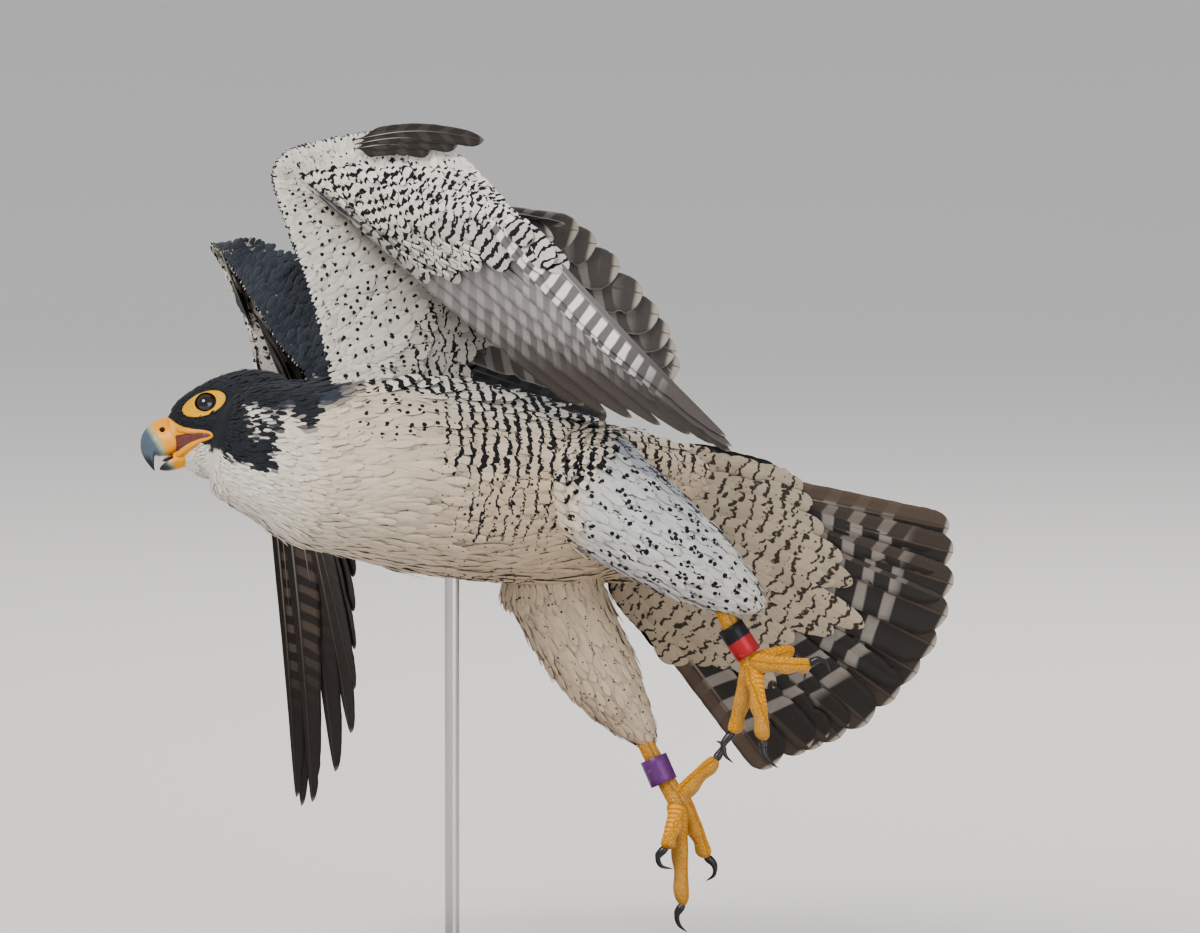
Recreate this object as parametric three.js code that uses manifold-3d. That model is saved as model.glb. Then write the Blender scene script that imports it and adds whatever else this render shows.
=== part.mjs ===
// Peregrine falcon in banking flight, life size, on a plain display stand.
// Millimetres, +Z up. The bird is drafted in its own drafting frame: X to the
// right, Y away, Z up, with plan units of PLAN millimetres measured from
// (PLAN_X0, PLAN_Y0), then leaned by LEAN degrees and raised to RIDE_HEIGHT.
import * as THREE from 'three';
import { mergeVertices } from 'three/addons/utils/BufferGeometryUtils.js';
import Module from 'manifold-3d';

const wasm = await Module();
wasm.setup();

// ---- driving dimensions -------------------------------------------------
const PLAN = 0.55;            // mm per plan unit
const PLAN_X0 = 600, PLAN_Y0 = 466.5;
const FAR = 12000;            // plan is drawn as seen from this far away
const LEAN = 5;               // degrees, the whole bird about X
const RIDE_HEIGHT = 286;      // plan origin above the floor
const GAP = 0.3;              // clearance between touching pieces
const FEATHER = 1.2;          // thickness of the feather sheets
const BASE_RADIUS = 135, BASE_HEIGHT = 14, BASE_CHAMFER = 1.5;
const ROD_RADIUS = 4, ROD_U = 452, ROD_DEPTH = -6;

const V = (x, y, z) => new THREE.Vector3(x, y, z);
const rad = THREE.MathUtils.degToRad;
const lerp = THREE.MathUtils.lerp;
const clamp01 = (x) => Math.min(1, Math.max(0, x));

// plan point -> drafting frame
function P(u, v, y) {
  const k = 1 + y / FAR;
  return V((u - PLAN_X0) * PLAN * k, y, (PLAN_Y0 - v) * PLAN * k);
}

// ---- solids helpers -----------------------------------------------------
function solid(geometry) {
  const g = geometry.index ? geometry.clone() : geometry;
  g.deleteAttribute('normal');
  g.deleteAttribute('uv');
  const m = mergeVertices(g, 1e-4);
  const pos = m.attributes.position.array;
  let idx = Array.from(m.index.array);
  const tris = [];
  let vol = 0;
  const at = (i) => V(pos[3 * i], pos[3 * i + 1], pos[3 * i + 2]);
  for (let i = 0; i < idx.length; i += 3) {
    const [a, b, c] = [idx[i], idx[i + 1], idx[i + 2]];
    if (a === b || b === c || a === c) continue;
    tris.push(a, b, c);
    vol += at(a).dot(at(b).cross(at(c)));
  }
  if (vol < 0) for (let i = 0; i < tris.length; i += 3) [tris[i], tris[i + 1]] = [tris[i + 1], tris[i]];
  return new wasm.Manifold(new wasm.Mesh({
    numProp: 3, vertProperties: new Float32Array(pos), triVerts: new Uint32Array(tris),
  }));
}

function biggest(man) {
  const parts = man.decompose();
  let best = parts[0];
  for (const p of parts) if (p.volume() > best.volume()) best = p;
  return best;
}

function toGeometry(man) {
  const mesh = man.getMesh();
  const g = new THREE.BufferGeometry();
  g.setAttribute('position', new THREE.BufferAttribute(new Float32Array(mesh.vertProperties), 3));
  g.setIndex(new THREE.BufferAttribute(new Uint32Array(mesh.triVerts), 1));
  g.computeVertexNormals();
  return g;
}

// half space in front of a point, along a direction
function half(point, dir, shift = 0) {
  const g = new THREE.BoxGeometry(1600, 1600, 1600);
  g.translate(0, 0, 800 + shift);
  g.applyQuaternion(new THREE.Quaternion().setFromUnitVectors(V(0, 0, 1), dir.clone().normalize()));
  g.translate(point.x, point.y, point.z);
  return solid(g);
}

// a solid spread by g all round, for clearances against small pieces
function swell(man, g) {
  let out = man;
  for (const d of [[g, 0, 0], [-g, 0, 0], [0, g, 0], [0, -g, 0], [0, 0, g], [0, 0, -g]]) out = out.add(man.translate(d));
  return out;
}

// values sampled along a table with a smooth curve
function table(rows) {
  const n = rows[0].length;
  const groups = [];
  for (let k = 0; k < n; k += 3) {
    groups.push(new THREE.CatmullRomCurve3(
      rows.map((r) => V(r[k], r[k + 1] ?? 0, r[k + 2] ?? 0)), false, 'catmullrom', 0.5));
  }
  return (t) => {
    const out = [];
    for (const c of groups) { const p = c.getPoint(Math.min(1, Math.max(0, t))); out.push(p.x, p.y, p.z); }
    return out.slice(0, n);
  };
}

// closed round loft: a sphere whose latitude runs along the spine
function loft(around, along, place) {
  const g = new THREE.SphereGeometry(1, around, along);
  const p = g.attributes.position;
  for (let j = 0, i = 0; j <= along; j++) {
    for (let k = 0; k <= around; k++, i++) {
      const q = place(j / along, (k % around) / around * 2 * Math.PI);
      p.setXYZ(i, q.x, q.y, q.z);
    }
  }
  return solid(g);
}

// closed sheet: a box whose x, y run over the surface and z is its thickness
function sheet(nu, nv, surface, thick) {
  const g = new THREE.BoxGeometry(1, 1, 1, nu, nv, 1);
  const p = g.attributes.position;
  const e = 1e-3;
  for (let i = 0; i < p.count; i++) {
    const s = p.getX(i) + 0.5, v = p.getY(i) + 0.5, side = p.getZ(i) > 0 ? 1 : -1;
    const c = surface(s, v);
    const ds = surface(s + e, v).sub(surface(s - e, v));
    const dv = surface(s, v + e).sub(surface(s, v - e));
    const n = ds.cross(dv).normalize();
    c.addScaledVector(n, side * thick(s, v) / 2);
    p.setXYZ(i, c.x, c.y, c.z);
  }
  return solid(g);
}

// round tube with a radius function along a smooth spine
function limb(points, radius, around = 10, along = 8, squash = 1) {
  const curve = new THREE.CatmullRomCurve3(points, false, 'catmullrom', 0.5);
  const up = V(0.1, 0.2, 1).normalize();
  return loft(around, along, (t, a) => {
    const c = curve.getPoint(t), T = curve.getTangent(t);
    const n1 = V(0, 0, 0).crossVectors(T, up).normalize();
    const n2 = V(0, 0, 0).crossVectors(n1, T).normalize();
    const end = Math.sqrt(Math.max(0, 1 - Math.pow(Math.abs(2 * t - 1), 8)));
    const r = radius(t) * end;
    return c.addScaledVector(n1, r * Math.cos(a) * squash).addScaledVector(n2, r * Math.sin(a));
  });
}

// ---- body axes ----------------------------------------------------------
const L0 = V(0.2885, -0.951, -0.1108);   // left of the level bird
const D0 = V(0.3585, 0, 0.9336);         // back of the level bird
function axes(T, roll) {
  const l0 = L0.clone().addScaledVector(T, -L0.dot(T)).normalize();
  const d0 = V(0, 0, 0).crossVectors(l0, T).normalize();
  if (d0.dot(D0) < 0) d0.negate();
  const r = rad(roll);
  return {
    l: l0.clone().multiplyScalar(Math.cos(r)).addScaledVector(d0, Math.sin(r)),
    d: d0.clone().multiplyScalar(Math.cos(r)).addScaledVector(l0, -Math.sin(r)),
  };
}

// ---- trunk, neck and back of head: one loft, later parted ----------------
// centre u, v, y | half width, height above, height below | roll
const BODY = [
  [714, 536, 42, 8, 3, 4, 72], [692, 528, 38, 41, 10, 12, 72], [655, 516, 30, 46, 20, 22, 65],
  [612, 506, 21, 49, 32, 34, 57], [565, 501, 12, 50, 41, 45, 49], [515, 493, 3, 53, 47, 49, 43],
  [455, 483, -8, 55, 50, 52, 38], [400, 471, -18, 54, 51, 54, 34], [350, 462, -26, 49, 49, 53, 29],
  [308, 457, -33, 42, 45, 51, 24], [275, 449, -38, 33, 40, 43, 19], [248, 441, -42, 27, 35, 38, 15],
  [226, 434, -45, 19, 26, 31, 12], [212, 430, -46, 5, 8, 9, 12],
];
const bodyAt = table(BODY.map((r) => { const p = P(r[0], r[1], r[2]); return [p.x, p.y, p.z, r[3], r[4], r[5], r[6], 0, 0]; }));
const bodyCentre = (t) => { const r = bodyAt(t); return V(r[0], r[1], r[2]); };
const bodyTangent = (t) => bodyCentre(Math.min(1, t + 0.02)).sub(bodyCentre(Math.max(0, t - 0.02))).normalize();
function bodyLoft(grow, around = 24, along = 24) {
  return loft(around, along, (t, a) => {
    const r = bodyAt(t), T = bodyTangent(t);
    const { l, d } = axes(T, r[6]);
    const cap = t <= 0 || t >= 1 ? 0 : 1;
    const c = Math.cos(a), s = Math.sin(a);
    const w = (r[3] + grow) * cap, h = ((s > 0 ? r[4] : r[5]) + grow) * cap;
    return V(r[0], r[1], r[2]).addScaledVector(l, w * c).addScaledVector(d, h * s);
  });
}

// ---- head frame ---------------------------------------------------------
const HEAD_AT = P(203, 405, -47), HEAD_PITCH = -20, HEAD_YAW = 5, HEAD_ROLL = 18;
const HF = V(-Math.cos(rad(HEAD_PITCH)) * Math.cos(rad(HEAD_YAW)), -Math.sin(rad(HEAD_YAW)), Math.sin(rad(HEAD_PITCH))).normalize();
const HL0 = V(0, -1, 0).addScaledVector(HF, -V(0, -1, 0).dot(HF)).normalize();
const HU0 = V(0, 0, 0).crossVectors(HL0, HF).normalize();
if (HU0.z < 0) HU0.negate();
const HL = HL0.clone().multiplyScalar(Math.cos(rad(HEAD_ROLL))).addScaledVector(HU0, Math.sin(rad(HEAD_ROLL)));
const HU = HU0.clone().multiplyScalar(Math.cos(rad(HEAD_ROLL))).addScaledVector(HL0, -Math.sin(rad(HEAD_ROLL)));
const EYE_OUT = 15.2, EYE_RADIUS = 7.6;
// origin midway between the eyes
const HO = HEAD_AT.clone().addScaledVector(HL, -EYE_OUT);
HO.y = -26;
const H = (x, l, z) => HO.clone().addScaledVector(HF, x).addScaledVector(HL, l).addScaledVector(HU, z);

// blade loft in the head frame: rows of x, top, x, bottom, half width
function blade(rows, around, along, taper = 0.25, grow = 0) {
  const at = table(rows.map((r) => [r[0], r[1], r[2], r[3], r[4], 0]));
  return loft(around, along, (t, a) => {
    const r = at(t);
    const cap = t <= 0 || t >= 1 ? 0 : 1;
    const c = Math.cos(a), s = Math.sin(a);
    const cx = (r[0] + r[2]) / 2, cz = (r[1] + r[3]) / 2;
    const hx = (r[0] - r[2]) / 2, hz = (r[1] - r[3]) / 2;
    const k = 1 + grow / Math.max(1, Math.hypot(hx, hz));
    const w = (r[4] + grow) * (1 - taper * s);
    return H(cx + hx * s * k * cap, w * c * cap, cz + hz * s * k * cap);
  });
}
const FACE = [ // x, top, x, bottom, half width
  [22, 3, 22, -18, 0], [21.5, 5, 22, -20, 6.5], [17, 9, 21, -25, 9.5], [10, 13, 17, -31, 13.5],
  [1, 15.5, 10, -37, 17.2], [-10, 17, 0, -43, 20.5], [-22, 17, -12, -48, 22.5], [-34, 14, -26, -50, 23.5],
  [-46, 6, -40, -48, 20], [-52, -10, -48, -38, 0],
];
const BILL_TOP = [
  [19, 5, 20, -17, 0], [19.5, 5.5, 20, -17, 7.2], [25, 6, 25, -16, 7.4], [31, 4.5, 29.5, -14.5, 6.2], [36.5, 0.5, 33, -13.5, 4.6],
  [39.6, -6, 34.6, -14.5, 3.0], [39.8, -12, 35.6, -16.5, 1.9], [38.6, -17, 36.2, -18.5, 1.1], [37.2, -21, 36.9, -21.2, 0],
];
const BILL_LOW = [
  [18, -19, 18, -24, 0], [18.5, -18.8, 18.5, -24.4, 6.2], [24, -18.4, 24, -24.4, 5.8], [29, -18.8, 28.6, -23.8, 4.6],
  [32.5, -19.8, 32, -22.8, 2.6], [34.2, -21, 34, -21.6, 0],
];

// ---- legs ---------------------------------------------------------------
// thigh rows: u, v, y, radius. toe: pad path and claw path
const LEGS = {
  left: {
    thigh: [[556, 468, -12, 26], [575, 478, -16, 34], [600, 497, -20, 33], [645, 528, -25, 29], [690, 560, -27, 24], [725, 584, -26, 17.5], [748, 600, -24, 10.5], [758, 608, -23, 3]],
    shank: [[712, 586, -24], [734, 632, -23], [750, 660, -22]],
    band: [[733.5, 631.5, -23], [745, 649, -22.5]], bandRadius: 6.6, bandHeight: 19,
    toes: [
      { path: [[752, 662, -20], [770, 656, -12], [785, 652, -6], [793, 654, -4]], claw: [[792, 654, -4], [800, 661, -4], [805, 671, -6], [804, 682, -8]] },
      { path: [[750, 663, -20], [744, 690, -17], [738, 716, -15], [733, 734, -16]], claw: [[733, 733, -16], [724, 744, -17], [725, 755, -18], [733, 763, -19]] },
      { path: [[753, 664, -22], [757, 692, -27], [761, 718, -29], [764, 741, -27]], claw: [[764, 740, -27], [763, 751, -28], [769, 761, -29], [778, 768, -30]] },
      { path: [[754, 661, -24], [775, 664, -31], [797, 665, -35], [811, 665, -36]], claw: [[810, 664, -36], [818, 660, -37], [826, 663, -38], [830, 672, -39]] },
    ],
  },
  right: {
    thigh: [[540, 548, 24, 22], [550, 572, 27, 29], [560, 600, 30, 27], [580, 640, 33, 25], [603, 678, 36, 22], [624, 708, 38, 16], [642, 732, 39, 9.5], [651, 745, 39, 3]],
    shank: [[634, 720, 39], [655, 761, 39], [676, 798, 38]],
    band: [[654.5, 760.5, 39], [663, 780, 38.7]], bandRadius: 6.8, bandHeight: 15,
    toes: [
      { path: [[679, 797, 36], [693, 782, 33], [706, 769, 30], [717, 759, 29]], claw: [[716, 760, 29], [722, 750, 31], [722, 744, 36], [716, 741, 41]] },
      { path: [[677, 800, 37], [675, 818, 34], [670, 836, 31], [666, 849, 30]], claw: [[666, 848, 30], [658, 857, 30], [661, 866, 31], [673, 869, 32]] },
      { path: [[679, 800, 38], [680, 835, 39], [681, 872, 40], [683, 906, 40]], claw: [[683, 905, 40], [677, 915, 40], [679, 925, 41], [687, 932, 42]] },
      { path: [[682, 799, 40], [691, 818, 45], [700, 840, 49], [707, 858, 50]], claw: [[706, 857, 50], [714, 865, 51], [714, 875, 52], [706, 881, 53]] },
    ],
  },
};
const PP = (r) => P(r[0], r[1], r[2]);

function thighSolid(rows, grow) {
  const at = table(rows.map((r) => { const p = PP(r); return [p.x, p.y, p.z, r[3], 0, 0]; }));
  const axis = V(0, 1, 0);
  return loft(12, 11, (t, a) => {
    const r = at(t), q0 = at(Math.max(0, t - 0.02)), q1 = at(Math.min(1, t + 0.02));
    const T = V(q1[0] - q0[0], q1[1] - q0[1], q1[2] - q0[2]).normalize();
    const n1 = V(0, 0, 0).crossVectors(T, axis).normalize();
    const n2 = V(0, 0, 0).crossVectors(n1, T).normalize();
    const k = t <= 0 || t >= 1 ? 0 : r[3] + grow;
    return V(r[0], r[1], r[2]).addScaledVector(n1, k * Math.cos(a)).addScaledVector(n2, 0.86 * k * Math.sin(a));
  });
}
const TOE_RADIUS = (t) => (4.6 - 1.5 * t) * (1 + 0.1 * Math.cos(t * 6 * Math.PI));
function footSolid(leg, grow) {
  let f = limb(leg.shank.map(PP), (t) => 4.9 + 0.9 * t * t + grow, 8, 6);
  for (const toe of leg.toes) f = f.add(limb(toe.path.map(PP), (t) => TOE_RADIUS(t) + grow, 8, 7));
  const palm = new THREE.SphereGeometry(6.4 + grow, 10, 7);
  const c = PP(leg.shank[2]).lerp(PP(leg.toes[0].path[0]), 0.5);
  palm.translate(c.x, c.y, c.z);
  return f.add(solid(palm));
}
function clawSolid(toe) {
  return limb(toe.claw.map(PP), (t) => 2.5 * (1 - t) + 0.35, 6, 6);
}
function bandSolid(leg) {
  const a = PP(leg.band[0]), b = PP(leg.band[1]);
  const mid = a.clone().add(b).multiplyScalar(0.5), dir = b.clone().sub(a).normalize();
  const r = leg.bandRadius, h = leg.bandHeight / 2;
  const profile = [[r, -h], [r + 0.9, -h], [r + 0.9, h], [r, h], [r, -h]].map((q) => new THREE.Vector2(q[0], q[1]));
  const g = new THREE.LatheGeometry(profile, 16);
  g.applyQuaternion(new THREE.Quaternion().setFromUnitVectors(V(0, 1, 0), dir));
  g.translate(mid.x, mid.y, mid.z);
  return solid(g);
}

// ---- wings --------------------------------------------------------------
// stations from the body out to the longest primary. Each: leading edge,
// bone line, feather tip (u, v, y), and the depth of flesh at the bone.
const WINGS = {
  left: [
    [[330, 388, -46], [372, 404, -42], [560, 405, 20], 15], // inner scapulars
    [[322, 350, -48], [420, 290, -12], [668, 385, 56], 12],
    [[314, 318, -49], [418, 262, -12], [675, 348, 62], 9],
    [[302, 275, -50], [380, 234, -20], [648, 300, 54], 8],
    [[286, 230, -50], [340, 208, -29], [592, 240, 34], 8],
    [[275, 196, -49], [310, 188, -36], [556, 232, 10], 8],
    [[271, 172, -48], [294, 177, -40], [546, 332, -30], 4.5],
    [[284, 151, -49], [302, 169, -45], [566, 392, -62], 4.5],
    [[318, 139, -56], [330, 168, -51], [600, 410, -95], 7],
    [[360, 131, -64], [358, 166, -59], [648, 421, -140], 6],
    [[404, 128, -71], [390, 164, -67], [700, 437, -190], 5],
    [[444, 144, -79], [452, 166, -83], [732, 451, -234], 4],
    [[472, 166, -86], [486, 182, -93], [726, 436, -233], 3],
  ],
  right: [
    [[318, 400, 8], [330, 440, 6], [480, 440, 56], 13],
    [[308, 384, 12], [362, 356, 40], [590, 440, 82], 9],
    [[298, 368, 15], [340, 326, 48], [606, 414, 94], 7],
    [[278, 345, 20], [316, 296, 50], [572, 384, 94], 6],
    [[254, 306, 27], [289, 264, 45], [516, 332, 84], 4],
    [[234, 274, 32], [260, 246, 46], [424, 442, 104], 3.4],
    [[217, 250, 35], [238, 241, 40], [376, 500, 92], 3],
    [[210, 243, 40], [222, 258, 49], [356, 545, 110], 3],
    [[221, 262, 47], [238, 284, 53], [353, 603, 136], 7],
    [[231, 284, 56], [248, 304, 61], [354, 672, 168], 6],
    [[242, 310, 66], [258, 326, 71], [347, 748, 200], 5],
    [[250, 334, 75], [264, 348, 81], [309, 805, 219], 4],
    [[256, 366, 86], [260, 388, 92], [296, 797, 214], 3],
  ],
};
const SPLIT = 6.5 / 12;       // wrist, between the arm and the hand
const COVER = { arm: 0.4, hand: 0.4 }; // fleshy part of the chord
const FEATHERS = { arm: 14, hand: 10 };

function wingSurface(rows) {
  const lead = table(rows.map((r) => { const p = PP(r[0]); return [p.x, p.y, p.z]; }));
  const bone = table(rows.map((r) => { const p = PP(r[1]); return [p.x, p.y, p.z]; }));
  const tip = table(rows.map((r) => { const p = PP(r[2]); return [p.x, p.y, p.z]; }));
  const flesh = table(rows.map((r) => [r[3], 0, 0]));
  const where = (s) => {
    const L = V(...lead(s)), B = V(...bone(s)), T = V(...tip(s));
    const a = B.distanceTo(L), b = T.distanceTo(B);
    return { L, B, T, k: a / (a + b) };
  };
  // chord from lead to bone to tip, by the chord fraction c
  const at = (s, c) => {
    const { L, B, T, k } = where(s);
    const straight = c < k ? L.clone().lerp(B, c / k) : B.clone().lerp(T, (c - k) / (1 - k));
    return straight;
  };
  const thick = (s, c) => {
    const { k } = where(s), f = flesh(s)[0];
    const w = c < k ? k * 0.9 : 0.12;
    return FEATHER + (f - FEATHER) * Math.exp(-Math.pow((c - k) / w, 2)) * Math.min(1, 0.3 + c * 9);
  };
  return { at, thick };
}

function wingPieces(rows) {
  const { at, thick } = wingSurface(rows);
  const d = 0.0018, w = 0.004; // half the gaps, across the chord and at the wrist
  const piece = (s0, s1, c0, c1, nu, nv, scallops) => {
    const end = (s) => {       // rounded feather ends along the trailing edge
      if (!scallops) return c1;
      const x = (s * scallops) % 1;
      return c1 - 0.035 * Math.pow(Math.abs(2 * x - 1), 2.2);
    };
    const start = (s) => c0 + (c0 > 0 ? 0.012 * Math.pow(clamp01(s), 6) + 0.035 * Math.pow(1 - clamp01(s), 8) + 0.03 * Math.exp(-Math.pow((s - 0.68) / 0.16, 2)) : 0); // clear of the outer cover
    return sheet(nu, nv, (s, v) => at(lerp(s0, s1, s), lerp(start(s), end(s), v)),
      (s, v) => thick(lerp(s0, s1, s), lerp(c0, c1, v)));
  };
  return {
    arm: piece(0, SPLIT - w, 0, COVER.arm - d, 28, 4, 0),
    secondaries: piece(0, SPLIT - w, COVER.arm + d, 1, 28, 3, FEATHERS.arm),
    hand: piece(SPLIT + w, 1, 0, COVER.hand - d, 20, 4, 0),
    primaries: piece(SPLIT + w, 1, COVER.hand + d, 1, 20, 3, FEATHERS.hand),
  };
}
const ALULA = {
  left: [[352, 134, -68], [404, 126, -80], [444, 126, -88], [484, 138, -96]],
  right: [[216, 250, 32], [222, 272, 40], [232, 300, 50], [244, 330, 62]],
};
function alulaSolid(points) {
  const c = new THREE.CatmullRomCurve3(points.map(PP));
  const across = V(0, 0.3, -1).normalize();
  return sheet(8, 3, (s, v) => c.getPoint(clamp01(s)).addScaledVector(across, (v - 0.35) * (1 + 14 * Math.min(1, 0.25 + 4 * s) * Math.sqrt(Math.max(0, 1 - s * s)))),
    () => 1.6);
}

// ---- tail ---------------------------------------------------------------
// outer root, outer tip for each side of the fan, and the tip arc between
const TAIL = {
  roots: [[690, 446, 14], [676, 488, 22], [656, 524, 29], [632, 560, 35], [612, 588, 39]],
  tips: [[946, 516, 55], [953, 552, 60], [951, 601, 67], [935, 647, 75], [907, 687, 82], [868, 724, 88], [828, 743, 92], [804, 752, 94], [753, 775, 98]],
  feathers: 12, base: 24,
};
function tailSheet(grow = 0) {
  const root = new THREE.CatmullRomCurve3(TAIL.roots.map(PP));
  const tip = new THREE.CatmullRomCurve3(TAIL.tips.map(PP));
  const n = TAIL.feathers;
  return sheet(n * 2, 6, (s, v) => {
    const x = (s * n) % 1;
    const end = 1 - 0.03 * Math.pow(Math.abs(2 * x - 1), 2.2);
    return root.getPoint(clamp01(s)).lerp(tip.getPoint(clamp01(s)), v * end);
  }, (s, v) => grow * 2 + FEATHER + TAIL.base * Math.exp(-Math.pow(v / 0.34, 2)) * (0.35 + 0.65 * Math.sin(Math.PI * s)));
}

// ---- assembly -----------------------------------------------------------
const SEAMS = { tail: 0.165, neck: 0.675, head: 0.80 };
const at = (t) => [bodyCentre(t), bodyTangent(t)];
const body = bodyLoft(0);
const [tailC, tailT] = at(SEAMS.tail), [neckC, neckT] = at(SEAMS.neck), [headC, headT] = at(SEAMS.head);

// eye sockets and bill seat are cut from the head
const eye = (side, grow) => {
  const g = new THREE.SphereGeometry(EYE_RADIUS + grow, 12, 9);
  const c = H(0, side * (EYE_OUT - 4.2), 0);
  g.translate(c.x, c.y, c.z);
  return solid(g);
};
const billTop = blade(BILL_TOP, 10, 11, 0.3);
const billLow = blade(BILL_LOW, 8, 7, -0.15);
const face = blade(FACE, 18, 12, 0.12);
const whole = body.add(face);
const head = biggest(whole.intersect(half(headC, headT, GAP / 2))
  .subtract(eye(1, GAP)).subtract(eye(-1, GAP))
  .subtract(swell(billTop, 0.5)).subtract(swell(billLow, 0.5)));
const neck = biggest(whole.intersect(half(neckC, neckT, GAP / 2)).intersect(half(headC, headT.clone().negate(), GAP / 2)));
const trunk = biggest(body.intersect(half(neckC, neckT.clone().negate(), GAP / 2)).intersect(half(tailC, tailT, GAP / 2)));
const tailHalf = half(tailC, tailT.clone().negate(), GAP / 2);
const tail = biggest(body.add(tailSheet()).intersect(tailHalf));
const bodyOut = bodyLoft(GAP).add(blade(FACE, 18, 12, 0.12, GAP));
const tailOut = bodyOut.add(tailSheet(GAP));

const nodes = {};
const put = (name, man, colour, rough) => { nodes[name] = { man, colour, rough }; };
const INK = 0x2b323c, BUFF = 0xe3d3ba, BLUE = 0x4f5c69, BROWN = 0x3a332e, YELLOW = 0xd9a437, CLAW = 0x17171a, HORN = 0x5b6670;
put('head', head, INK, 0.8);
put('neck', neck, BUFF, 0.85);
put('trunk', trunk, BUFF, 0.85);
put('tail', tail, BROWN, 0.75);
put('bill_upper', billTop, HORN, 0.35);
put('bill_lower', biggest(billLow.subtract(swell(billTop, 0.4))), HORN, 0.35);
put('eye_left', eye(1, 0), 0x1c120c, 0.08);
put('eye_right', eye(-1, 0), 0x1c120c, 0.08);

let taken = tailOut;           // everything the next piece has to clear
for (const side of ['left', 'right']) {
  const leg = LEGS[side];
  const thigh = biggest(thighSolid(leg.thigh, 0).subtract(taken));
  put(`thigh_${side}`, thigh, BUFF, 0.85);
  const thighOut = thighSolid(leg.thigh, GAP);
  taken = taken.add(thighOut);
  const band = bandSolid(leg);
  const foot = biggest(footSolid(leg, 0).subtract(thighOut).subtract(swell(band, GAP)));
  put(`foot_${side}`, foot, YELLOW, 0.5);
  leg.toes.forEach((toe, i) => {
    put(`claw_${side}_${i + 1}`, biggest(clawSolid(toe).subtract(swell(foot, 0.4))), CLAW, 0.3);
  });
  put(`band_${side}`, band, side === 'left' ? 0x9a2f2c : 0x6a4aa0, 0.4);
}
for (const side of ['left', 'right']) {
  const w = wingPieces(WINGS[side]);
  w.alula = alulaSolid(ALULA[side]);
  w.alula = w.alula.subtract(swell(w.hand, 0.5)).subtract(swell(w.arm, 0.5));
  for (const [name, colour] of [['arm', BUFF], ['hand', BUFF], ['secondaries', BROWN], ['primaries', BROWN], ['alula', BROWN]]) {
    put(`wing_${side}_${name}`, biggest(w[name].subtract(taken)), colour, 0.8);
  }
}

// ---- stand --------------------------------------------------------------
const bird = new THREE.Group();
bird.rotation.x = -rad(LEAN);
bird.position.z = RIDE_HEIGHT;
const group = new THREE.Group();
group.add(bird);
const make = (name, geometry, colour, rough, metal = 0) => {
  const m = new THREE.Mesh(geometry, new THREE.MeshStandardMaterial({ color: colour, roughness: rough, metalness: metal }));
  m.name = name;
  return m;
};
for (const [name, n] of Object.entries(nodes)) bird.add(make(name, toGeometry(n.man), n.colour, n.rough));

bird.updateMatrixWorld(true);
const rodTop = P(ROD_U, 540, ROD_DEPTH).applyMatrix4(bird.matrixWorld);
const baseProfile = [[0, 0], [BASE_RADIUS - BASE_CHAMFER, 0], [BASE_RADIUS, BASE_CHAMFER], [BASE_RADIUS, BASE_HEIGHT - BASE_CHAMFER],
  [BASE_RADIUS - BASE_CHAMFER, BASE_HEIGHT], [0, BASE_HEIGHT]].map((q) => new THREE.Vector2(q[0], q[1]));
const baseGeo = new THREE.LatheGeometry(baseProfile, 36);
baseGeo.rotateX(Math.PI / 2);
const rodHeight = rodTop.z - BASE_HEIGHT - GAP;
const rodGeo = new THREE.CylinderGeometry(ROD_RADIUS, ROD_RADIUS, rodHeight, 16);
rodGeo.rotateX(Math.PI / 2);
rodGeo.translate(rodTop.x, rodTop.y, BASE_HEIGHT + GAP + rodHeight / 2);
const toWorld = (man) => {
  const m = bird.matrixWorld.elements;
  return man.transform([m[0], m[1], m[2], m[3], m[4], m[5], m[6], m[7], m[8], m[9], m[10], m[11], m[12], m[13], m[14], m[15]]);
};
const rod = biggest(solid(rodGeo).subtract(toWorld(taken)));
const baseMesh = make('stand_base', toGeometry(solid(baseGeo)), 0x4a3626, 0.4);
baseMesh.geometry.translate(rodTop.x, rodTop.y, 0);
const rodMesh = make('stand_rod', toGeometry(rod), 0x9a9a96, 0.3, 0.9);
// row origin at the middle of the base's underside
group.add(baseMesh, rodMesh);
for (const child of group.children) { child.position.x -= rodTop.x; child.position.y -= rodTop.y; }

export default group;
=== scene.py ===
import math
import bpy
import numpy as np
from mathutils import Matrix, Vector
from mathutils.bvhtree import BVHTree
from mathutils.kdtree import KDTree


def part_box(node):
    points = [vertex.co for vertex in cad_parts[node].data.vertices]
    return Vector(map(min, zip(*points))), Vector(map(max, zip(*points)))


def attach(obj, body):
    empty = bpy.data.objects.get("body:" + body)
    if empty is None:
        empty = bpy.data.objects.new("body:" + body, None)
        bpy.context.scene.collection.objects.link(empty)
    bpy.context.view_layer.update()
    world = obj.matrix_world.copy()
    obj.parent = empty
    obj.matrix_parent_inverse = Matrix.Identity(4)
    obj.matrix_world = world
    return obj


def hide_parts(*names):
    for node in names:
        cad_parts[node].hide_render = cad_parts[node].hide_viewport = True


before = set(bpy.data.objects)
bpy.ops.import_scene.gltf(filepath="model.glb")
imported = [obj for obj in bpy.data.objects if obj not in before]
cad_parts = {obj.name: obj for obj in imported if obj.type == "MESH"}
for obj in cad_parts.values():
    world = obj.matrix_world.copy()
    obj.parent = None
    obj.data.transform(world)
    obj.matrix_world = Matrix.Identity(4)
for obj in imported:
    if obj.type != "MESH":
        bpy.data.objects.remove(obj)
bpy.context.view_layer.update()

rng = np.random.default_rng(7)

# ---------------------------------------------------------------- drafting frame
PLAN, FAR, LEAN, RIDE = 0.55, 12000.0, math.radians(5), 286.0
ROD = (452, 540, -6)


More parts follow.
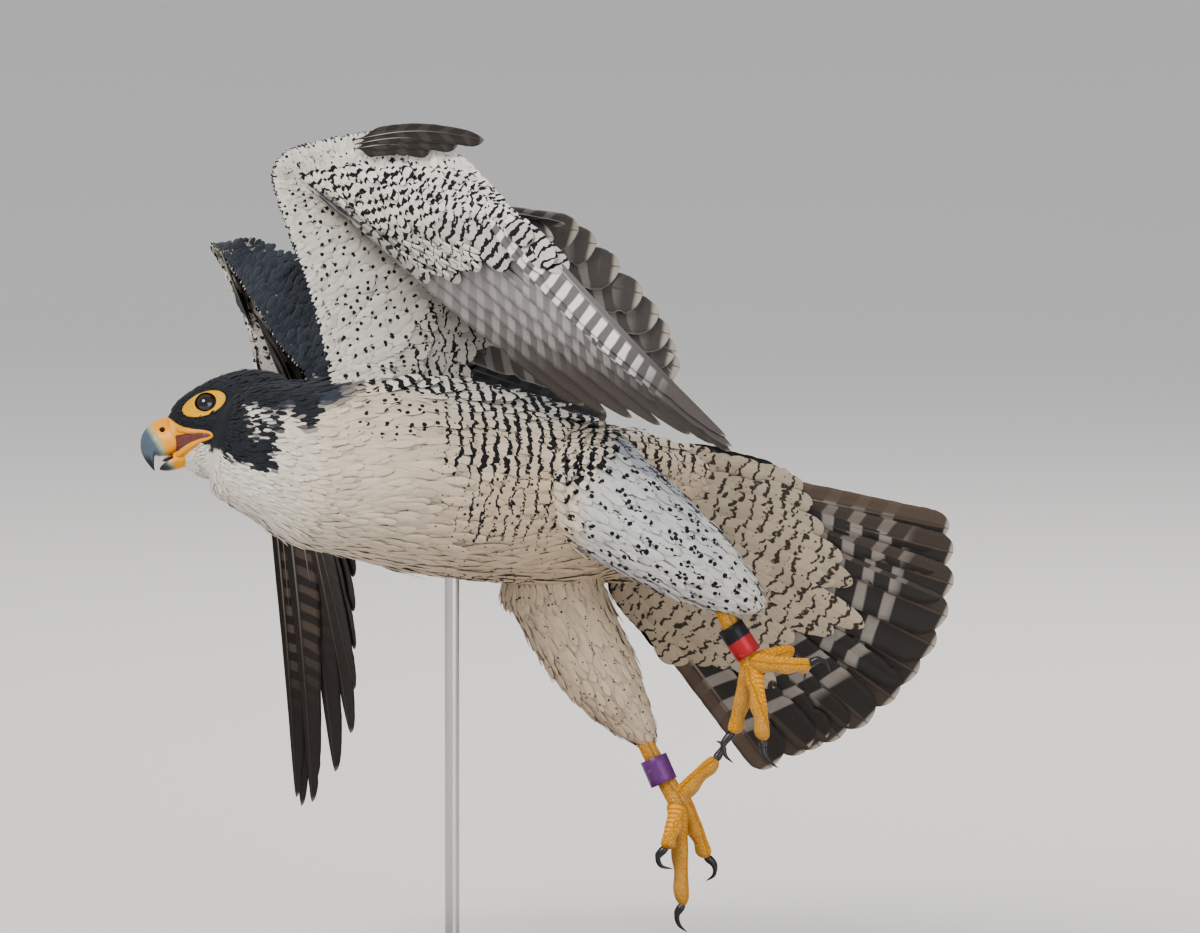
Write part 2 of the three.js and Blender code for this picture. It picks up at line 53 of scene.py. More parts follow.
def P(u, v, y):
    u, v, y = np.broadcast_arrays(np.asarray(u, float), np.asarray(v, float), np.asarray(y, float))
    k = 1 + y / FAR
    return np.stack([(u - 600) * PLAN * k, y, (466.5 - v) * PLAN * k], -1)


CL, SL = math.cos(LEAN), math.sin(LEAN)
RW = P(*ROD)
ROD_X, ROD_Y = RW[0], RW[1] * CL + RW[2] * SL


def W(p):
    """drafting millimetres -> world metres"""
    p = np.asarray(p, float)
    x, y, z = p[..., 0], p[..., 1], p[..., 2]
    return np.stack([x - ROD_X, y * CL + z * SL - ROD_Y, -y * SL + z * CL + RIDE], -1) / 1000


def unit(a):
    return a / (np.linalg.norm(a, axis=-1, keepdims=True) + 1e-12)


def table(rows):
    a = np.asarray(rows, float)
    n = len(a)

    def f(t):
        t = np.clip(np.asarray(t, float), 0, 1) * (n - 1)
        i = np.minimum(t.astype(int), n - 2)
        w = (t - i)[..., None]
        g = lambda j: a[np.clip(j, 0, n - 1)]
        p1, p2 = g(i), g(i + 1)
        p0 = np.where((i == 0)[..., None], 2 * a[0] - a[1], g(i - 1))
        p3 = np.where((i == n - 2)[..., None], 2 * a[-1] - a[-2], g(i + 2))
        m1, m2 = 0.5 * (p2 - p0), 0.5 * (p3 - p1)
        w2, w3 = w * w, w * w * w
        return (2 * w3 - 3 * w2 + 1) * p1 + (w3 - 2 * w2 + w) * m1 + (-2 * w3 + 3 * w2) * p2 + (w3 - w2) * m2
    return f


def smooth(e0, e1, x):
    t = np.clip((x - e0) / (e1 - e0), 0, 1)
    return t * t * (3 - 2 * t)


# ---------------------------------------------------------------- trunk, neck, back of head
L0 = np.array([0.2885, -0.951, -0.1108])
D0 = np.array([0.3585, 0, 0.9336])
BODY = [
    [714, 536, 42, 8, 3, 4, 72], [692, 528, 38, 41, 10, 12, 72], [655, 516, 30, 46, 20, 22, 65],
    [612, 506, 21, 49, 32, 34, 57], [565, 501, 12, 50, 41, 45, 49], [515, 493, 3, 53, 47, 49, 43],
    [455, 483, -8, 55, 50, 52, 38], [400, 471, -18, 54, 51, 54, 34], [350, 462, -26, 49, 49, 53, 29],
    [308, 457, -33, 42, 45, 51, 24], [275, 449, -38, 33, 40, 43, 19], [248, 441, -42, 27, 35, 38, 15],
    [226, 434, -45, 19, 26, 31, 12], [212, 430, -46, 5, 8, 9, 12],
]
_rows = [list(P(r[0], r[1], r[2])) + r[3:] for r in BODY]
body_at = table(_rows)


def body_axes(t):
    e = 0.02
    T = unit(body_at(np.clip(t + e, 0, 1))[..., :3] - body_at(np.clip(t - e, 0, 1))[..., :3])
    r = body_at(t)
    l0 = unit(L0 - T * (T @ L0)[..., None])
    d0 = unit(np.cross(l0, T))
    d0 = np.where(((d0 @ D0) < 0)[..., None], -d0, d0)
    c, s = np.cos(np.radians(r[..., 6]))[..., None], np.sin(np.radians(r[..., 6]))[..., None]
    return r, T, l0 * c + d0 * s, d0 * c - l0 * s


def body(t, a, grow=0.0):
    r, T, l, d = body_axes(t)
    c, s = np.cos(a), np.sin(a)
    w = r[..., 3] + grow
    h = np.where(s > 0, r[..., 4], r[..., 5]) + grow
    return r[..., :3] + l * (w * c)[..., None] + d * (h * s)[..., None]


_ts = np.linspace(0, 1, 400)
_c = body_at(_ts)[:, :3]
_arc = np.concatenate([[0], np.cumsum(np.linalg.norm(np.diff(_c, axis=0), axis=1))])
arc_of = lambda t: np.interp(t, _ts, _arc)
t_of = lambda s: np.interp(s, _arc, _ts)

# ---------------------------------------------------------------- head frame
rd = math.radians
HEAD_PITCH, HEAD_YAW, HEAD_ROLL = rd(-20), rd(5), rd(18)
HF = unit(np.array([-math.cos(HEAD_PITCH) * math.cos(HEAD_YAW), -math.sin(HEAD_YAW), math.sin(HEAD_PITCH)]))
_l0 = np.array([0, -1.0, 0]); _l0 = unit(_l0 - HF * (_l0 @ HF))
_u0 = np.cross(_l0, HF); _u0 = _u0 if _u0[2] > 0 else -_u0
HL = _l0 * math.cos(HEAD_ROLL) + _u0 * math.sin(HEAD_ROLL)
HU = _u0 * math.cos(HEAD_ROLL) - _l0 * math.sin(HEAD_ROLL)
EYE_OUT, EYE_R, EYE_IN = 15.2, 7.6, 5.0
HO = P(203, 405, -47) - HL * EYE_OUT
HO[1] = -26


def H(x, l, z):
    x, l, z = np.broadcast_arrays(np.asarray(x, float), np.asarray(l, float), np.asarray(z, float))
    return HO + x[..., None] * HF + l[..., None] * HL + z[..., None] * HU


def headc(p):
    q = np.asarray(p) - HO
    return q @ HF, q @ HL, q @ HU


FACE = [[22, 3, 22, -18, 0], [21.5, 5, 22, -20, 6.5], [17, 9, 21, -25, 9.5], [10, 13, 17, -31, 13.5],
        [1, 15.5, 10, -37, 17.2], [-10, 17, 0, -43, 20.5], [-22, 17, -12, -48, 22.5], [-34, 14, -26, -50, 23.5],
        [-46, 6, -40, -48, 20], [-52, -10, -48, -38, 0]]
BILL_TOP = [[19, 5, 20, -17, 0], [19.5, 5.5, 20, -17, 7.2], [25, 6, 25, -16, 7.4], [31, 4.5, 29.5, -14.5, 6.2],
            [36.5, 0.5, 33, -13.5, 4.6], [39.6, -6, 34.6, -14.5, 3.0], [39.8, -12, 35.6, -16.5, 1.9],
            [38.6, -17, 36.2, -18.5, 1.1], [37.2, -21, 36.9, -21.2, 0]]
BILL_LOW = [[18, -19, 18, -24, 0], [18.5, -18.8, 18.5, -24.4, 6.2], [24, -18.4, 24, -24.4, 5.8],
            [29, -18.8, 28.6, -23.8, 4.6], [32.5, -19.8, 32, -22.8, 2.6], [34.2, -21, 34, -21.6, 0]]


def blade(rows, taper=0.25, grow=0.0):
    at = table(rows)

    def f(t, a):
        r = at(t)
        c, s = np.cos(a), np.sin(a)
        cx, cz = (r[..., 0] + r[..., 2]) / 2, (r[..., 1] + r[..., 3]) / 2
        hx, hz = (r[..., 0] - r[..., 2]) / 2, (r[..., 1] - r[..., 3]) / 2
        k = 1 + grow / np.maximum(1, np.hypot(hx, hz))
        w = (r[..., 4] + grow) * (1 - taper * s)
        return H(cx + hx * s * k, w * c, cz + hz * s * k)
    return f


face = blade(FACE, 0.12)

# ---------------------------------------------------------------- legs
LEGS = {
    "left": dict(
        thigh=[[556, 468, -12, 26], [575, 478, -16, 34], [600, 497, -20, 33], [645, 528, -25, 29], [690, 560, -27, 24], [725, 584, -26, 17.5], [748, 600, -24, 10.5], [758, 608, -23, 3]],
        shank=[[712, 586, -24], [734, 632, -23], [750, 660, -22]],
        band=[[733.5, 631.5, -23], [745, 649, -22.5]], r=6.6, h=19,
        toes=[([[752, 662, -20], [770, 656, -12], [785, 652, -6], [793, 654, -4]], [[792, 654, -4], [800, 661, -4], [805, 671, -6], [804, 682, -8]]),
              ([[750, 663, -20], [744, 690, -17], [738, 716, -15], [733, 734, -16]], [[733, 733, -16], [724, 744, -17], [725, 755, -18], [733, 763, -19]]),
              ([[753, 664, -22], [757, 692, -27], [761, 718, -29], [764, 741, -27]], [[764, 740, -27], [763, 751, -28], [769, 761, -29], [778, 768, -30]]),
              ([[754, 661, -24], [775, 664, -31], [797, 665, -35], [811, 665, -36]], [[810, 664, -36], [818, 660, -37], [826, 663, -38], [830, 672, -39]])]),
    "right": dict(
        thigh=[[540, 548, 24, 22], [550, 572, 27, 29], [560, 600, 30, 27], [580, 640, 33, 25], [603, 678, 36, 22], [624, 708, 38, 16], [642, 732, 39, 9.5], [651, 745, 39, 3]],
        shank=[[634, 720, 39], [655, 761, 39], [676, 798, 38]],
        band=[[654.5, 760.5, 39], [663, 780, 38.7]], r=6.8, h=15,
        toes=[([[679, 797, 36], [693, 782, 33], [706, 769, 30], [717, 759, 29]], [[716, 760, 29], [722, 750, 31], [722, 744, 36], [716, 741, 41]]),
              ([[677, 800, 37], [675, 818, 34], [670, 836, 31], [666, 849, 30]], [[666, 848, 30], [658, 857, 30], [661, 866, 31], [673, 869, 32]]),
              ([[679, 800, 38], [680, 835, 39], [681, 872, 40], [683, 906, 40]], [[683, 905, 40], [677, 915, 40], [679, 925, 41], [687, 932, 42]]),
              ([[682, 799, 40], [691, 818, 45], [700, 840, 49], [707, 858, 50]], [[706, 857, 50], [714, 865, 51], [714, 875, 52], [706, 881, 53]])]),
}


def PP(rows):
    a = np.asarray(rows, float)
    return P(a[:, 0], a[:, 1], a[:, 2])


def thigh_fn(rows, grow=0.0):
    a = np.asarray(rows, float)
    at = table(np.concatenate([PP(rows), a[:, 3:4]], 1))

    def f(t, ang):
        r = at(t)
        T = unit(at(np.clip(t + .02, 0, 1))[..., :3] - at(np.clip(t - .02, 0, 1))[..., :3])
        n1 = unit(np.cross(T, np.array([0, 1.0, 0])))
        n2 = unit(np.cross(n1, T))
        k = (r[..., 3] + grow)[..., None]
        return r[..., :3] + n1 * k * np.cos(ang)[..., None] + n2 * 0.86 * k * np.sin(ang)[..., None]
    return f


# ---------------------------------------------------------------- wings
WINGS = {
    "left": [
        [[330, 388, -46], [372, 404, -42], [560, 405, 20], 15],
        [[322, 350, -48], [420, 290, -12], [668, 385, 56], 12],
        [[314, 318, -49], [418, 262, -12], [675, 348, 62], 9],
        [[302, 275, -50], [380, 234, -20], [648, 300, 54], 8],
        [[286, 230, -50], [340, 208, -29], [592, 240, 34], 8],
        [[275, 196, -49], [310, 188, -36], [556, 232, 10], 8],
        [[271, 172, -48], [294, 177, -40], [546, 332, -30], 4.5],
        [[284, 151, -49], [302, 169, -45], [566, 392, -62], 4.5],
        [[318, 139, -56], [330, 168, -51], [600, 410, -95], 7],
        [[360, 131, -64], [358, 166, -59], [648, 421, -140], 6],
        [[404, 128, -71], [390, 164, -67], [700, 437, -190], 5],
        [[444, 144, -79], [452, 166, -83], [732, 451, -234], 4],
        [[472, 166, -86], [486, 182, -93], [726, 436, -233], 3],
    ],
    "right": [
        [[318, 400, 8], [330, 440, 6], [480, 440, 56], 13],
        [[308, 384, 12], [362, 356, 40], [590, 440, 82], 9],
        [[298, 368, 15], [340, 326, 48], [606, 414, 94], 7],
        [[278, 345, 20], [316, 296, 50], [572, 384, 94], 6],
        [[254, 306, 27], [289, 264, 45], [516, 332, 84], 4],
        [[234, 274, 32], [260, 246, 46], [424, 442, 104], 3.4],
        [[217, 250, 35], [238, 241, 40], [376, 500, 92], 3],
        [[210, 243, 40], [222, 258, 49], [356, 545, 110], 3],
        [[221, 262, 47], [238, 284, 53], [353, 603, 136], 7],
        [[231, 284, 56], [248, 304, 61], [354, 672, 168], 6],
        [[242, 310, 66], [258, 326, 71], [347, 748, 200], 5],
        [[250, 334, 75], [264, 348, 81], [309, 805, 219], 4],
        [[256, 366, 86], [260, 388, 92], [296, 797, 214], 3],
    ],
}
SPLIT = 6.5 / 12


class Wing:
    def __init__(self, side):
        rows = WINGS[side]
        self.side = side
        self.L = table(PP([r[0] for r in rows]))
        self.B = table(PP([r[1] for r in rows]))
        self.T = table(PP([r[2] for r in rows]))
        self.F = table([[r[3]] for r in rows])
        self.sign = 1.0
        n = self.normal(np.array([0.3]), np.array([0.3]))[0]
        want = -1.0 if side == "left" else 1.0     # ventral side of the arm
        self.sign = 1.0 if n[1] * want > 0 else -1.0

    def parts(self, s):
        L, B, T = self.L(s), self.B(s), self.T(s)
        a, b = np.linalg.norm(B - L, axis=-1), np.linalg.norm(T - B, axis=-1)
        return L, B, T, a, b

    def at(self, s, c):
        L, B, T, a, b = self.parts(s)
        k = a / (a + b)
        w1 = np.clip(c / k, 0, 1)[..., None]
        w2 = np.clip((c - k) / (1 - k), 0, None)[..., None]
        w1 = np.where((c < 0)[..., None], (c / k)[..., None], w1)
        return L + (B - L) * w1 + (T - B) * w2

    def normal(self, s, c):
        """points out of the ventral side"""
        e = 0.004
        ds = self.at(np.clip(s + e, 0, 1), c) - self.at(np.clip(s - e, 0, 1), c)
        dv = self.at(s, c + e) - self.at(s, c - e)
        return unit(np.cross(ds, dv)) * self.sign

    def thick(self, s, c):
        _, _, _, a, b = self.parts(s)
        k = a / (a + b)
        f = self.F(s)[..., 0]
        w = np.where(c < k, k * 0.9, 0.12)
        return 1.2 + (f - 1.2) * np.exp(-((c - k) / w) ** 2) * np.minimum(1, 0.3 + c * 9)


TAIL_ROOTS = table(PP([[690, 446, 14], [676, 488, 22], [656, 524, 29], [632, 560, 35], [612, 588, 39]]))
TAIL_TIPS = table(PP([[946, 516, 55], [953, 552, 60], [951, 601, 67], [935, 647, 75], [907, 687, 82], [868, 724, 88], [828, 743, 92], [804, 752, 94], [753, 775, 98]]))

# ---------------------------------------------------------------- mesh helpers


def link(me, name):
    o = bpy.data.objects.new(name, me)
    bpy.context.scene.collection.objects.link(o)
    return o


def grid_faces(nu, nv, wrap):
    i, j = np.meshgrid(np.arange(nu - 1), np.arange(nv if wrap else nv - 1), indexing="ij")
    i, j = i.ravel(), j.ravel()
    j2 = (j + 1) % nv
    return np.stack([i * nv + j, i * nv + j2, (i + 1) * nv + j2, (i + 1) * nv + j], 1)


def build(name, verts, quads, tris=None, smooth_on=True):
    me = bpy.data.meshes.new(name)
    V = np.ascontiguousarray(verts, dtype=np.float32)
    quads = np.asarray(quads, dtype=np.int32).reshape(-1, 4)
    nq = len(quads)
    tr = np.zeros((0, 3), np.int32) if tris is None else np.asarray(tris, np.int32).reshape(-1, 3)
    loops = np.concatenate([quads.ravel(), tr.ravel()])
    starts = np.concatenate([np.arange(nq) * 4, nq * 4 + np.arange(len(tr)) * 3]).astype(np.int32)
    me.vertices.add(len(V)); me.vertices.foreach_set("co", V.ravel())
    me.loops.add(len(loops)); me.loops.foreach_set("vertex_index", loops)
    me.polygons.add(len(starts)); me.polygons.foreach_set("loop_start", starts)
    me.update(calc_edges=True)
    if smooth_on:
        me.shade_smooth()
    return me


def closed_loft(name, fn, nt, na, t0=0.0, t1=1.0, pole=True):
    """closed surface: rings t0..t1 with the ends drawn to a point"""
    t = np.linspace(t0, t1, nt)
    a = np.arange(na) / na * 2 * math.pi
    T, A = np.meshgrid(t, a, indexing="ij")
    p = fn(T, A).reshape(-1, 3)
    c0, c1 = p[:na].mean(0), p[-na:].mean(0)
    q = grid_faces(nt, na, True)
    n = len(p)
    k = np.arange(na); k2 = (k + 1) % na
    tri = np.concatenate([np.stack([np.full(na, n), k2, k], 1), np.stack([np.full(na, n + 1), (nt - 1) * na + k, (nt - 1) * na + k2], 1)])
    return np.concatenate([p, [c0, c1]]), q, tri


def outward(me):
    import bmesh
    bm = bmesh.new(); bm.from_mesh(me)
    bmesh.ops.remove_doubles(bm, verts=bm.verts, dist=1e-6)
    bmesh.ops.recalc_face_normals(bm, faces=bm.faces)
    bm.to_mesh(me); bm.free()
    return me


def attr(me, name, kind, data):
    a = me.attributes.new(name, kind, "POINT")
    data = np.ascontiguousarray(data, dtype=np.float32)
    a.data.foreach_set("color" if kind == "FLOAT_COLOR" else "vector" if kind == "FLOAT_VECTOR" else "value", data.ravel())


# ---------------------------------------------------------------- materials
class N:
    """small helper round a node tree"""

    def __init__(self, name):
        self.m = bpy.data.materials.new(name)
        self.m.use_nodes = True
        self.t = self.m.node_tree
        self.b = self.t.nodes["Principled BSDF"]

    def node(self, kind, **kw):
        n = self.t.nodes.new(kind)
        for k, v in kw.items():
            setattr(n, k, v)
        return n

    def put(self, sock, v):
        if isinstance(v, bpy.types.NodeSocket):
            self.t.links.new(v, sock)
        elif v is not None:
            if hasattr(sock.default_value, "__len__") and not hasattr(v, "__len__"):
                v = [v] * len(sock.default_value)
            if hasattr(v, "__len__") and len(v) == 3 and len(sock.default_value) == 4:
                v = list(v) + [1]
            sock.default_value = v

    def m2(self, op, a, b=0.0, c=None):
        n = self.node("ShaderNodeMath", operation=op)
        self.put(n.inputs[0], a); self.put(n.inputs[1], b)
        if c is not None:
            self.put(n.inputs[2], c)
        return n.outputs[0]

    def attr(self, name, out="Vector"):
        n = self.node("ShaderNodeAttribute", attribute_name=name)
        return n.outputs[out]

    def xyz(self, v):
        n = self.node("ShaderNodeSeparateXYZ")
        self.put(n.inputs[0], v)
        return n.outputs

    def rgb(self, v):
        n = self.node("ShaderNodeSeparateColor")
        self.put(n.inputs[0], v)
        return n.outputs

    def vec(self, x, y, z):
        n = self.node("ShaderNodeCombineXYZ")
        for s, v in zip(n.inputs, (x, y, z)):
            self.put(s, v)
        return n.outputs[0]

    def mix(self, f, a, b, mode="MIX"):
        n = self.node("ShaderNodeMix", data_type="RGBA", blend_type=mode)
        self.put(n.inputs[0], f); self.put(n.inputs[6], a); self.put(n.inputs[7], b)
        return n.outputs[2]

    def ramp(self, x, e0, e1, smoothly=True):
        n = self.node("ShaderNodeMapRange", interpolation_type="SMOOTHSTEP" if smoothly else "LINEAR")
        self.put(n.inputs[0], x); self.put(n.inputs[1], e0); self.put(n.inputs[2], e1)
        n.inputs[3].default_value, n.inputs[4].default_value = 0, 1
        return n.outputs[0]

    def noise(self, v, scale, detail=2.0, rough=0.5, dim="3D"):
        n = self.node("ShaderNodeTexNoise", noise_dimensions=dim)
        self.put(n.inputs["Vector"], v)
        n.inputs["Scale"].default_value = scale
        n.inputs["Detail"].default_value = detail
        n.inputs["Roughness"].default_value = rough
        return n.outputs[0]

    def object_co(self):
        return self.node("ShaderNodeTexCoord").outputs["Object"]

    def bump(self, h, strength, dist):
        n = self.node("ShaderNodeBump")
        n.inputs["Strength"].default_value = strength
        n.inputs["Distance"].default_value = dist
        self.put(n.inputs["Height"], h)
        self.t.links.new(n.outputs[0], self.b.inputs["Normal"])

    def done(self, color, rough, spec=0.5, **kw):
        self.put(self.b.inputs["Base Color"], color)
        self.put(self.b.inputs["Roughness"], rough)
        self.b.inputs["Specular IOR Level"].default_value = spec
        for k, v in kw.items():
            self.b.inputs[k.replace("_", " ")].default_value = v
        return self.m


def barbs(n, v, w, freq):
    """height of the barbs, slanting out from the shaft"""
    ph = n.m2("SUBTRACT", n.m2("MULTIPLY", v, freq), n.m2("MULTIPLY", n.m2("ABSOLUTE", w), freq * 0.22))
    return n.m2("MULTIPLY_ADD", n.m2("SINE", n.m2("MULTIPLY", ph, 6.283)), 0.5, 0.5)


def contour_material(name, skin=False):
    n = N(name)
    base = n.attr("base", "Color")
    brown = n.attr("base", "Alpha")
    mk = n.rgb(n.attr("mark", "Color"))          # bars, spots, fringe
    pat = n.attr("pat")
    px = n.xyz(pat)
    wob = n.noise(pat, 0.16, 2.0)
    ph = n.m2("ADD", n.m2("DIVIDE", px[0], 7.0), n.m2("MULTIPLY", wob, 1.3))
    s = n.m2("SINE", n.m2("MULTIPLY", ph, 6.283))
    s = n.m2("ADD", s, n.m2("MULTIPLY_ADD", n.noise(pat, 0.55, 2.0), 0.9, -0.45))
    low = n.m2("MULTIPLY_ADD", n.m2("SUBTRACT", 1.0, mk[0]), 1.0, 0.05)
    bars = n.m2("MULTIPLY", n.ramp(n.m2("SUBTRACT", s, low), 0.0, 0.30), n.ramp(mk[0], 0.05, 0.25))
    vor = n.node("ShaderNodeTexVoronoi", voronoi_dimensions="2D")
    vor.inputs["Scale"].default_value = 0.145
    vor.inputs["Randomness"].default_value = 0.62
    n.put(vor.inputs["Vector"], pat)
    far = n.m2("ADD", vor.outputs["Distance"], n.m2("MULTIPLY_ADD", n.noise(pat, 0.5, 2.0), 0.22, -0.11))
    size = n.m2("MULTIPLY_ADD", mk[1], 0.24, -0.01)
    spot = n.m2("MULTIPLY", n.m2("SUBTRACT", 1.0, n.ramp(n.m2("SUBTRACT", far, size), -0.04, 0.04)), n.ramp(mk[1], 0.04, 0.12))
    dark = n.m2("MAXIMUM", bars, spot)
    tone = n.noise(pat, 0.35, 3.0)
    col = n.mix(n.m2("MULTIPLY", tone, 0.35), base, (0.62, 0.50, 0.36, 1), "MULTIPLY")
    if not skin:
        lo = n.xyz(n.attr("loc"))
        v, w = lo[0], lo[1]
        rnd = px[2]
        # pale fringe and dark shaft of the dark feathers
        fr = n.m2("MULTIPLY", n.m2("MAXIMUM", n.ramp(n.m2("ABSOLUTE", w), 0.7, 1.0), n.ramp(v, 0.86, 1.0)), mk[2])
        col = n.mix(n.m2("MULTIPLY", fr, 0.55), col, (0.50, 0.46, 0.40, 1))
        shaft = n.m2("SUBTRACT", 1.0, n.ramp(n.m2("ABSOLUTE", w), 0.03, 0.12))
        col = n.mix(n.m2("MULTIPLY", shaft, 0.08), col, (0.05, 0.045, 0.04, 1))
        hb = n.noise(n.vec(n.m2("MULTIPLY", w, 7.0), n.m2("MULTIPLY", v, 1.6), n.m2("MULTIPLY", rnd, 40.0)), 1.0, 3.0)
        col = n.mix(n.m2("MULTIPLY", n.ramp(hb, 0.45, 0.75), 0.16), col, (0.22, 0.19, 0.155, 1))
        n.bump(hb, 0.25, 0.0003)
    else:
        n.bump(n.noise(pat, 1.5, 3.0), 0.4, 0.0006)
    ink = n.mix(brown, (0.016, 0.016, 0.019, 1), (0.085, 0.062, 0.045, 1))
    col = n.mix(dark, col, ink)
    return n.done(col, 0.88, 0.2, Sheen_Weight=0.10, Sheen_Roughness=0.5)


# far: when set, gives darker copies of the vane colours, painted shade for a wing that lies in shadow
def flight_material(name, kind, far=False):
    n = N(name)
    lo = n.xyz(n.attr("loc"))          # along, across (-1 outer .. +1 inner), random
    ex = n.xyz(n.attr("pat"))          # mm along, side (0 under, 1 upper), order 0..1
    v, w, rnd = lo[0], lo[1], lo[2]
    mm, side = ex[0], ex[1]
    nz = n.noise(n.attr("pat"), 0.12, 2.0)
    if kind == "tail":
        ph = n.m2("ADD", n.m2("DIVIDE", n.m2("ADD", mm, n.m2("MULTIPLY", n.m2("ABSOLUTE", w), -3.0)), 17.0), n.m2("MULTIPLY", nz, 0.35))
        s = n.m2("SINE", n.m2("MULTIPLY", ph, 6.283))
        bar = n.m2("MULTIPLY", n.ramp(s, -0.05, 0.45), n.m2("SUBTRACT", 1.0, n.ramp(v, 0.80, 0.86)))
        under = n.mix(bar, (0.026, 0.021, 0.019, 1), (0.25, 0.225, 0.20, 1))
        upper = n.mix(n.m2("MULTIPLY", bar, 0.8), (0.045, 0.05, 0.058, 1), (0.17, 0.19, 0.22, 1))
        inner = n.ramp(w, -0.25, 0.05)
        rim = n.m2("MAXIMUM", n.m2("SUBTRACT", 1.0, n.ramp(ex[2], 0.99, 1.01)), n.ramp(ex[2], 10.99, 11.01))
        brown = n.m2("MULTIPLY", n.m2("SUBTRACT", 1.0, inner), n.m2("MULTIPLY_ADD", rim, 0.5, 0.42))
        under = n.mix(brown, under, (0.105, 0.074, 0.053, 1))
        tip = n.ramp(v, 0.978, 0.992)
        tipc = (0.42, 0.37, 0.31, 1)
    elif kind == "primary":
        ph = n.m2("ADD", n.m2("DIVIDE", n.m2("ADD", mm, n.m2("MULTIPLY", w, -6.0)), 11.5), n.m2("MULTIPLY", nz, 0.3))
        s = n.m2("SINE", n.m2("MULTIPLY", ph, 6.283))
        reach = n.m2("MULTIPLY", n.ramp(w, 0.02, 0.22), n.m2("SUBTRACT", 1.0, n.ramp(v, 0.58, 0.82)))
        bar = n.m2("MULTIPLY", n.ramp(s, -0.25, 0.35), reach)
        bold = n.ramp(ex[2], 6.2, 8.2)
        ground = n.mix(bold, (0.30, 0.285, 0.285, 1), (0.16, 0.15, 0.15, 1))
        ground = n.mix(n.ramp(v, 0.45, 0.85), ground, (0.085, 0.072, 0.066, 1))
        under = n.mix(bar, ground, n.mix(bold, (0.40, 0.385, 0.38, 1), (0.80, 0.785, 0.75, 1)))
        # painted shade: the far wing's primaries get near-black under sides with dim bars, a darkened copy of the lit
        # colours, for the shadow that wing lies in
        if far:
            under = n.mix(bar, (0.028, 0.023, 0.021, 1), n.mix(bold, (0.045, 0.036, 0.031, 1), (0.13, 0.10, 0.08, 1)))
        upper = n.mix(n.m2("MULTIPLY", bar, 0.25), (0.050, 0.052, 0.058, 1), (0.20, 0.20, 0.20, 1))
        tip = n.m2("MULTIPLY", n.ramp(v, 0.985, 1.0), 0.6)
        tipc = (0.40, 0.34, 0.28, 1)
    else:
        ph = n.m2("ADD", n.m2("DIVIDE", n.m2("ADD", mm, n.m2("MULTIPLY", n.m2("ABSOLUTE", w), -5.0)), 13.0), n.m2("MULTIPLY", nz, 0.35))
        s = n.m2("SINE", n.m2("MULTIPLY", ph, 6.283))
        bar = n.m2("MULTIPLY", n.ramp(s, -0.1, 0.5), n.m2("SUBTRACT", 1.0, n.ramp(v, 0.88, 0.94)))
        # painted shade: the under side gets a dark brown-grey ground with dull bars, darker than the feathers' own pale
        # grey, for the shadow on the near wing's secondaries
        under = n.mix(bar, (0.075, 0.064, 0.058, 1), (0.20, 0.18, 0.16, 1))
        # painted shade: with far set (the far wing's secondaries, and the "thumb" variant used for both alulas) the
        # under side, the upper side and the tips get darker copies of their colours, for the shadow those feathers lie
        # in
        if far:
            under = n.mix(bar, (0.030, 0.025, 0.023, 1), (0.055, 0.047, 0.042, 1))
        upper = n.mix(n.m2("MULTIPLY", bar, 0.6), (0.055, 0.058, 0.066, 1), (0.15, 0.16, 0.18, 1))
        if far:
            upper = n.mix(bar, (0.040, 0.034, 0.031, 1), (0.060, 0.052, 0.047, 1)) if far == "thumb" else n.mix(n.m2("MULTIPLY", bar, 0.6), (0.045, 0.049, 0.057, 1), (0.11, 0.12, 0.135, 1))
        tip = n.m2("MAXIMUM", n.ramp(v, 0.965, 0.985), n.m2("MULTIPLY", n.ramp(n.m2("ABSOLUTE", w), 0.90, 1.0), 0.5))
        tipc = (0.15, 0.13, 0.11, 1) if far else (0.42, 0.375, 0.32, 1)
    col = n.mix(side, under, upper)
    col = n.mix(tip, col, tipc)
    shaft = n.m2("SUBTRACT", 1.0, n.ramp(n.m2("ABSOLUTE", w), 0.035, 0.075))
    col = n.mix(n.m2("MULTIPLY", shaft, 0.75), col, n.mix(n.ramp(v, 0.1, 0.8), (0.55, 0.50, 0.42, 1), (0.09, 0.06, 0.045, 1)))
    hb = barbs(n, v, w, 150)
    hb2 = n.noise(n.vec(n.m2("MULTIPLY", v, 60.0), n.m2("MULTIPLY", w, 1.5), rnd), 2.0, 2.0)
    col = n.mix(n.m2("MULTIPLY", n.m2("MULTIPLY", hb, hb2), 0.30), col, (0.03, 0.026, 0.022, 1))
    n.bump(n.m2("MULTIPLY", hb, n.m2("SUBTRACT", 1.0, shaft)), 0.30, 0.0003)
    rough = n.m2("MULTIPLY_ADD", hb2, 0.2, 0.5)
    return n.done(col, rough, 0.35, Sheen_Weight=0.05)


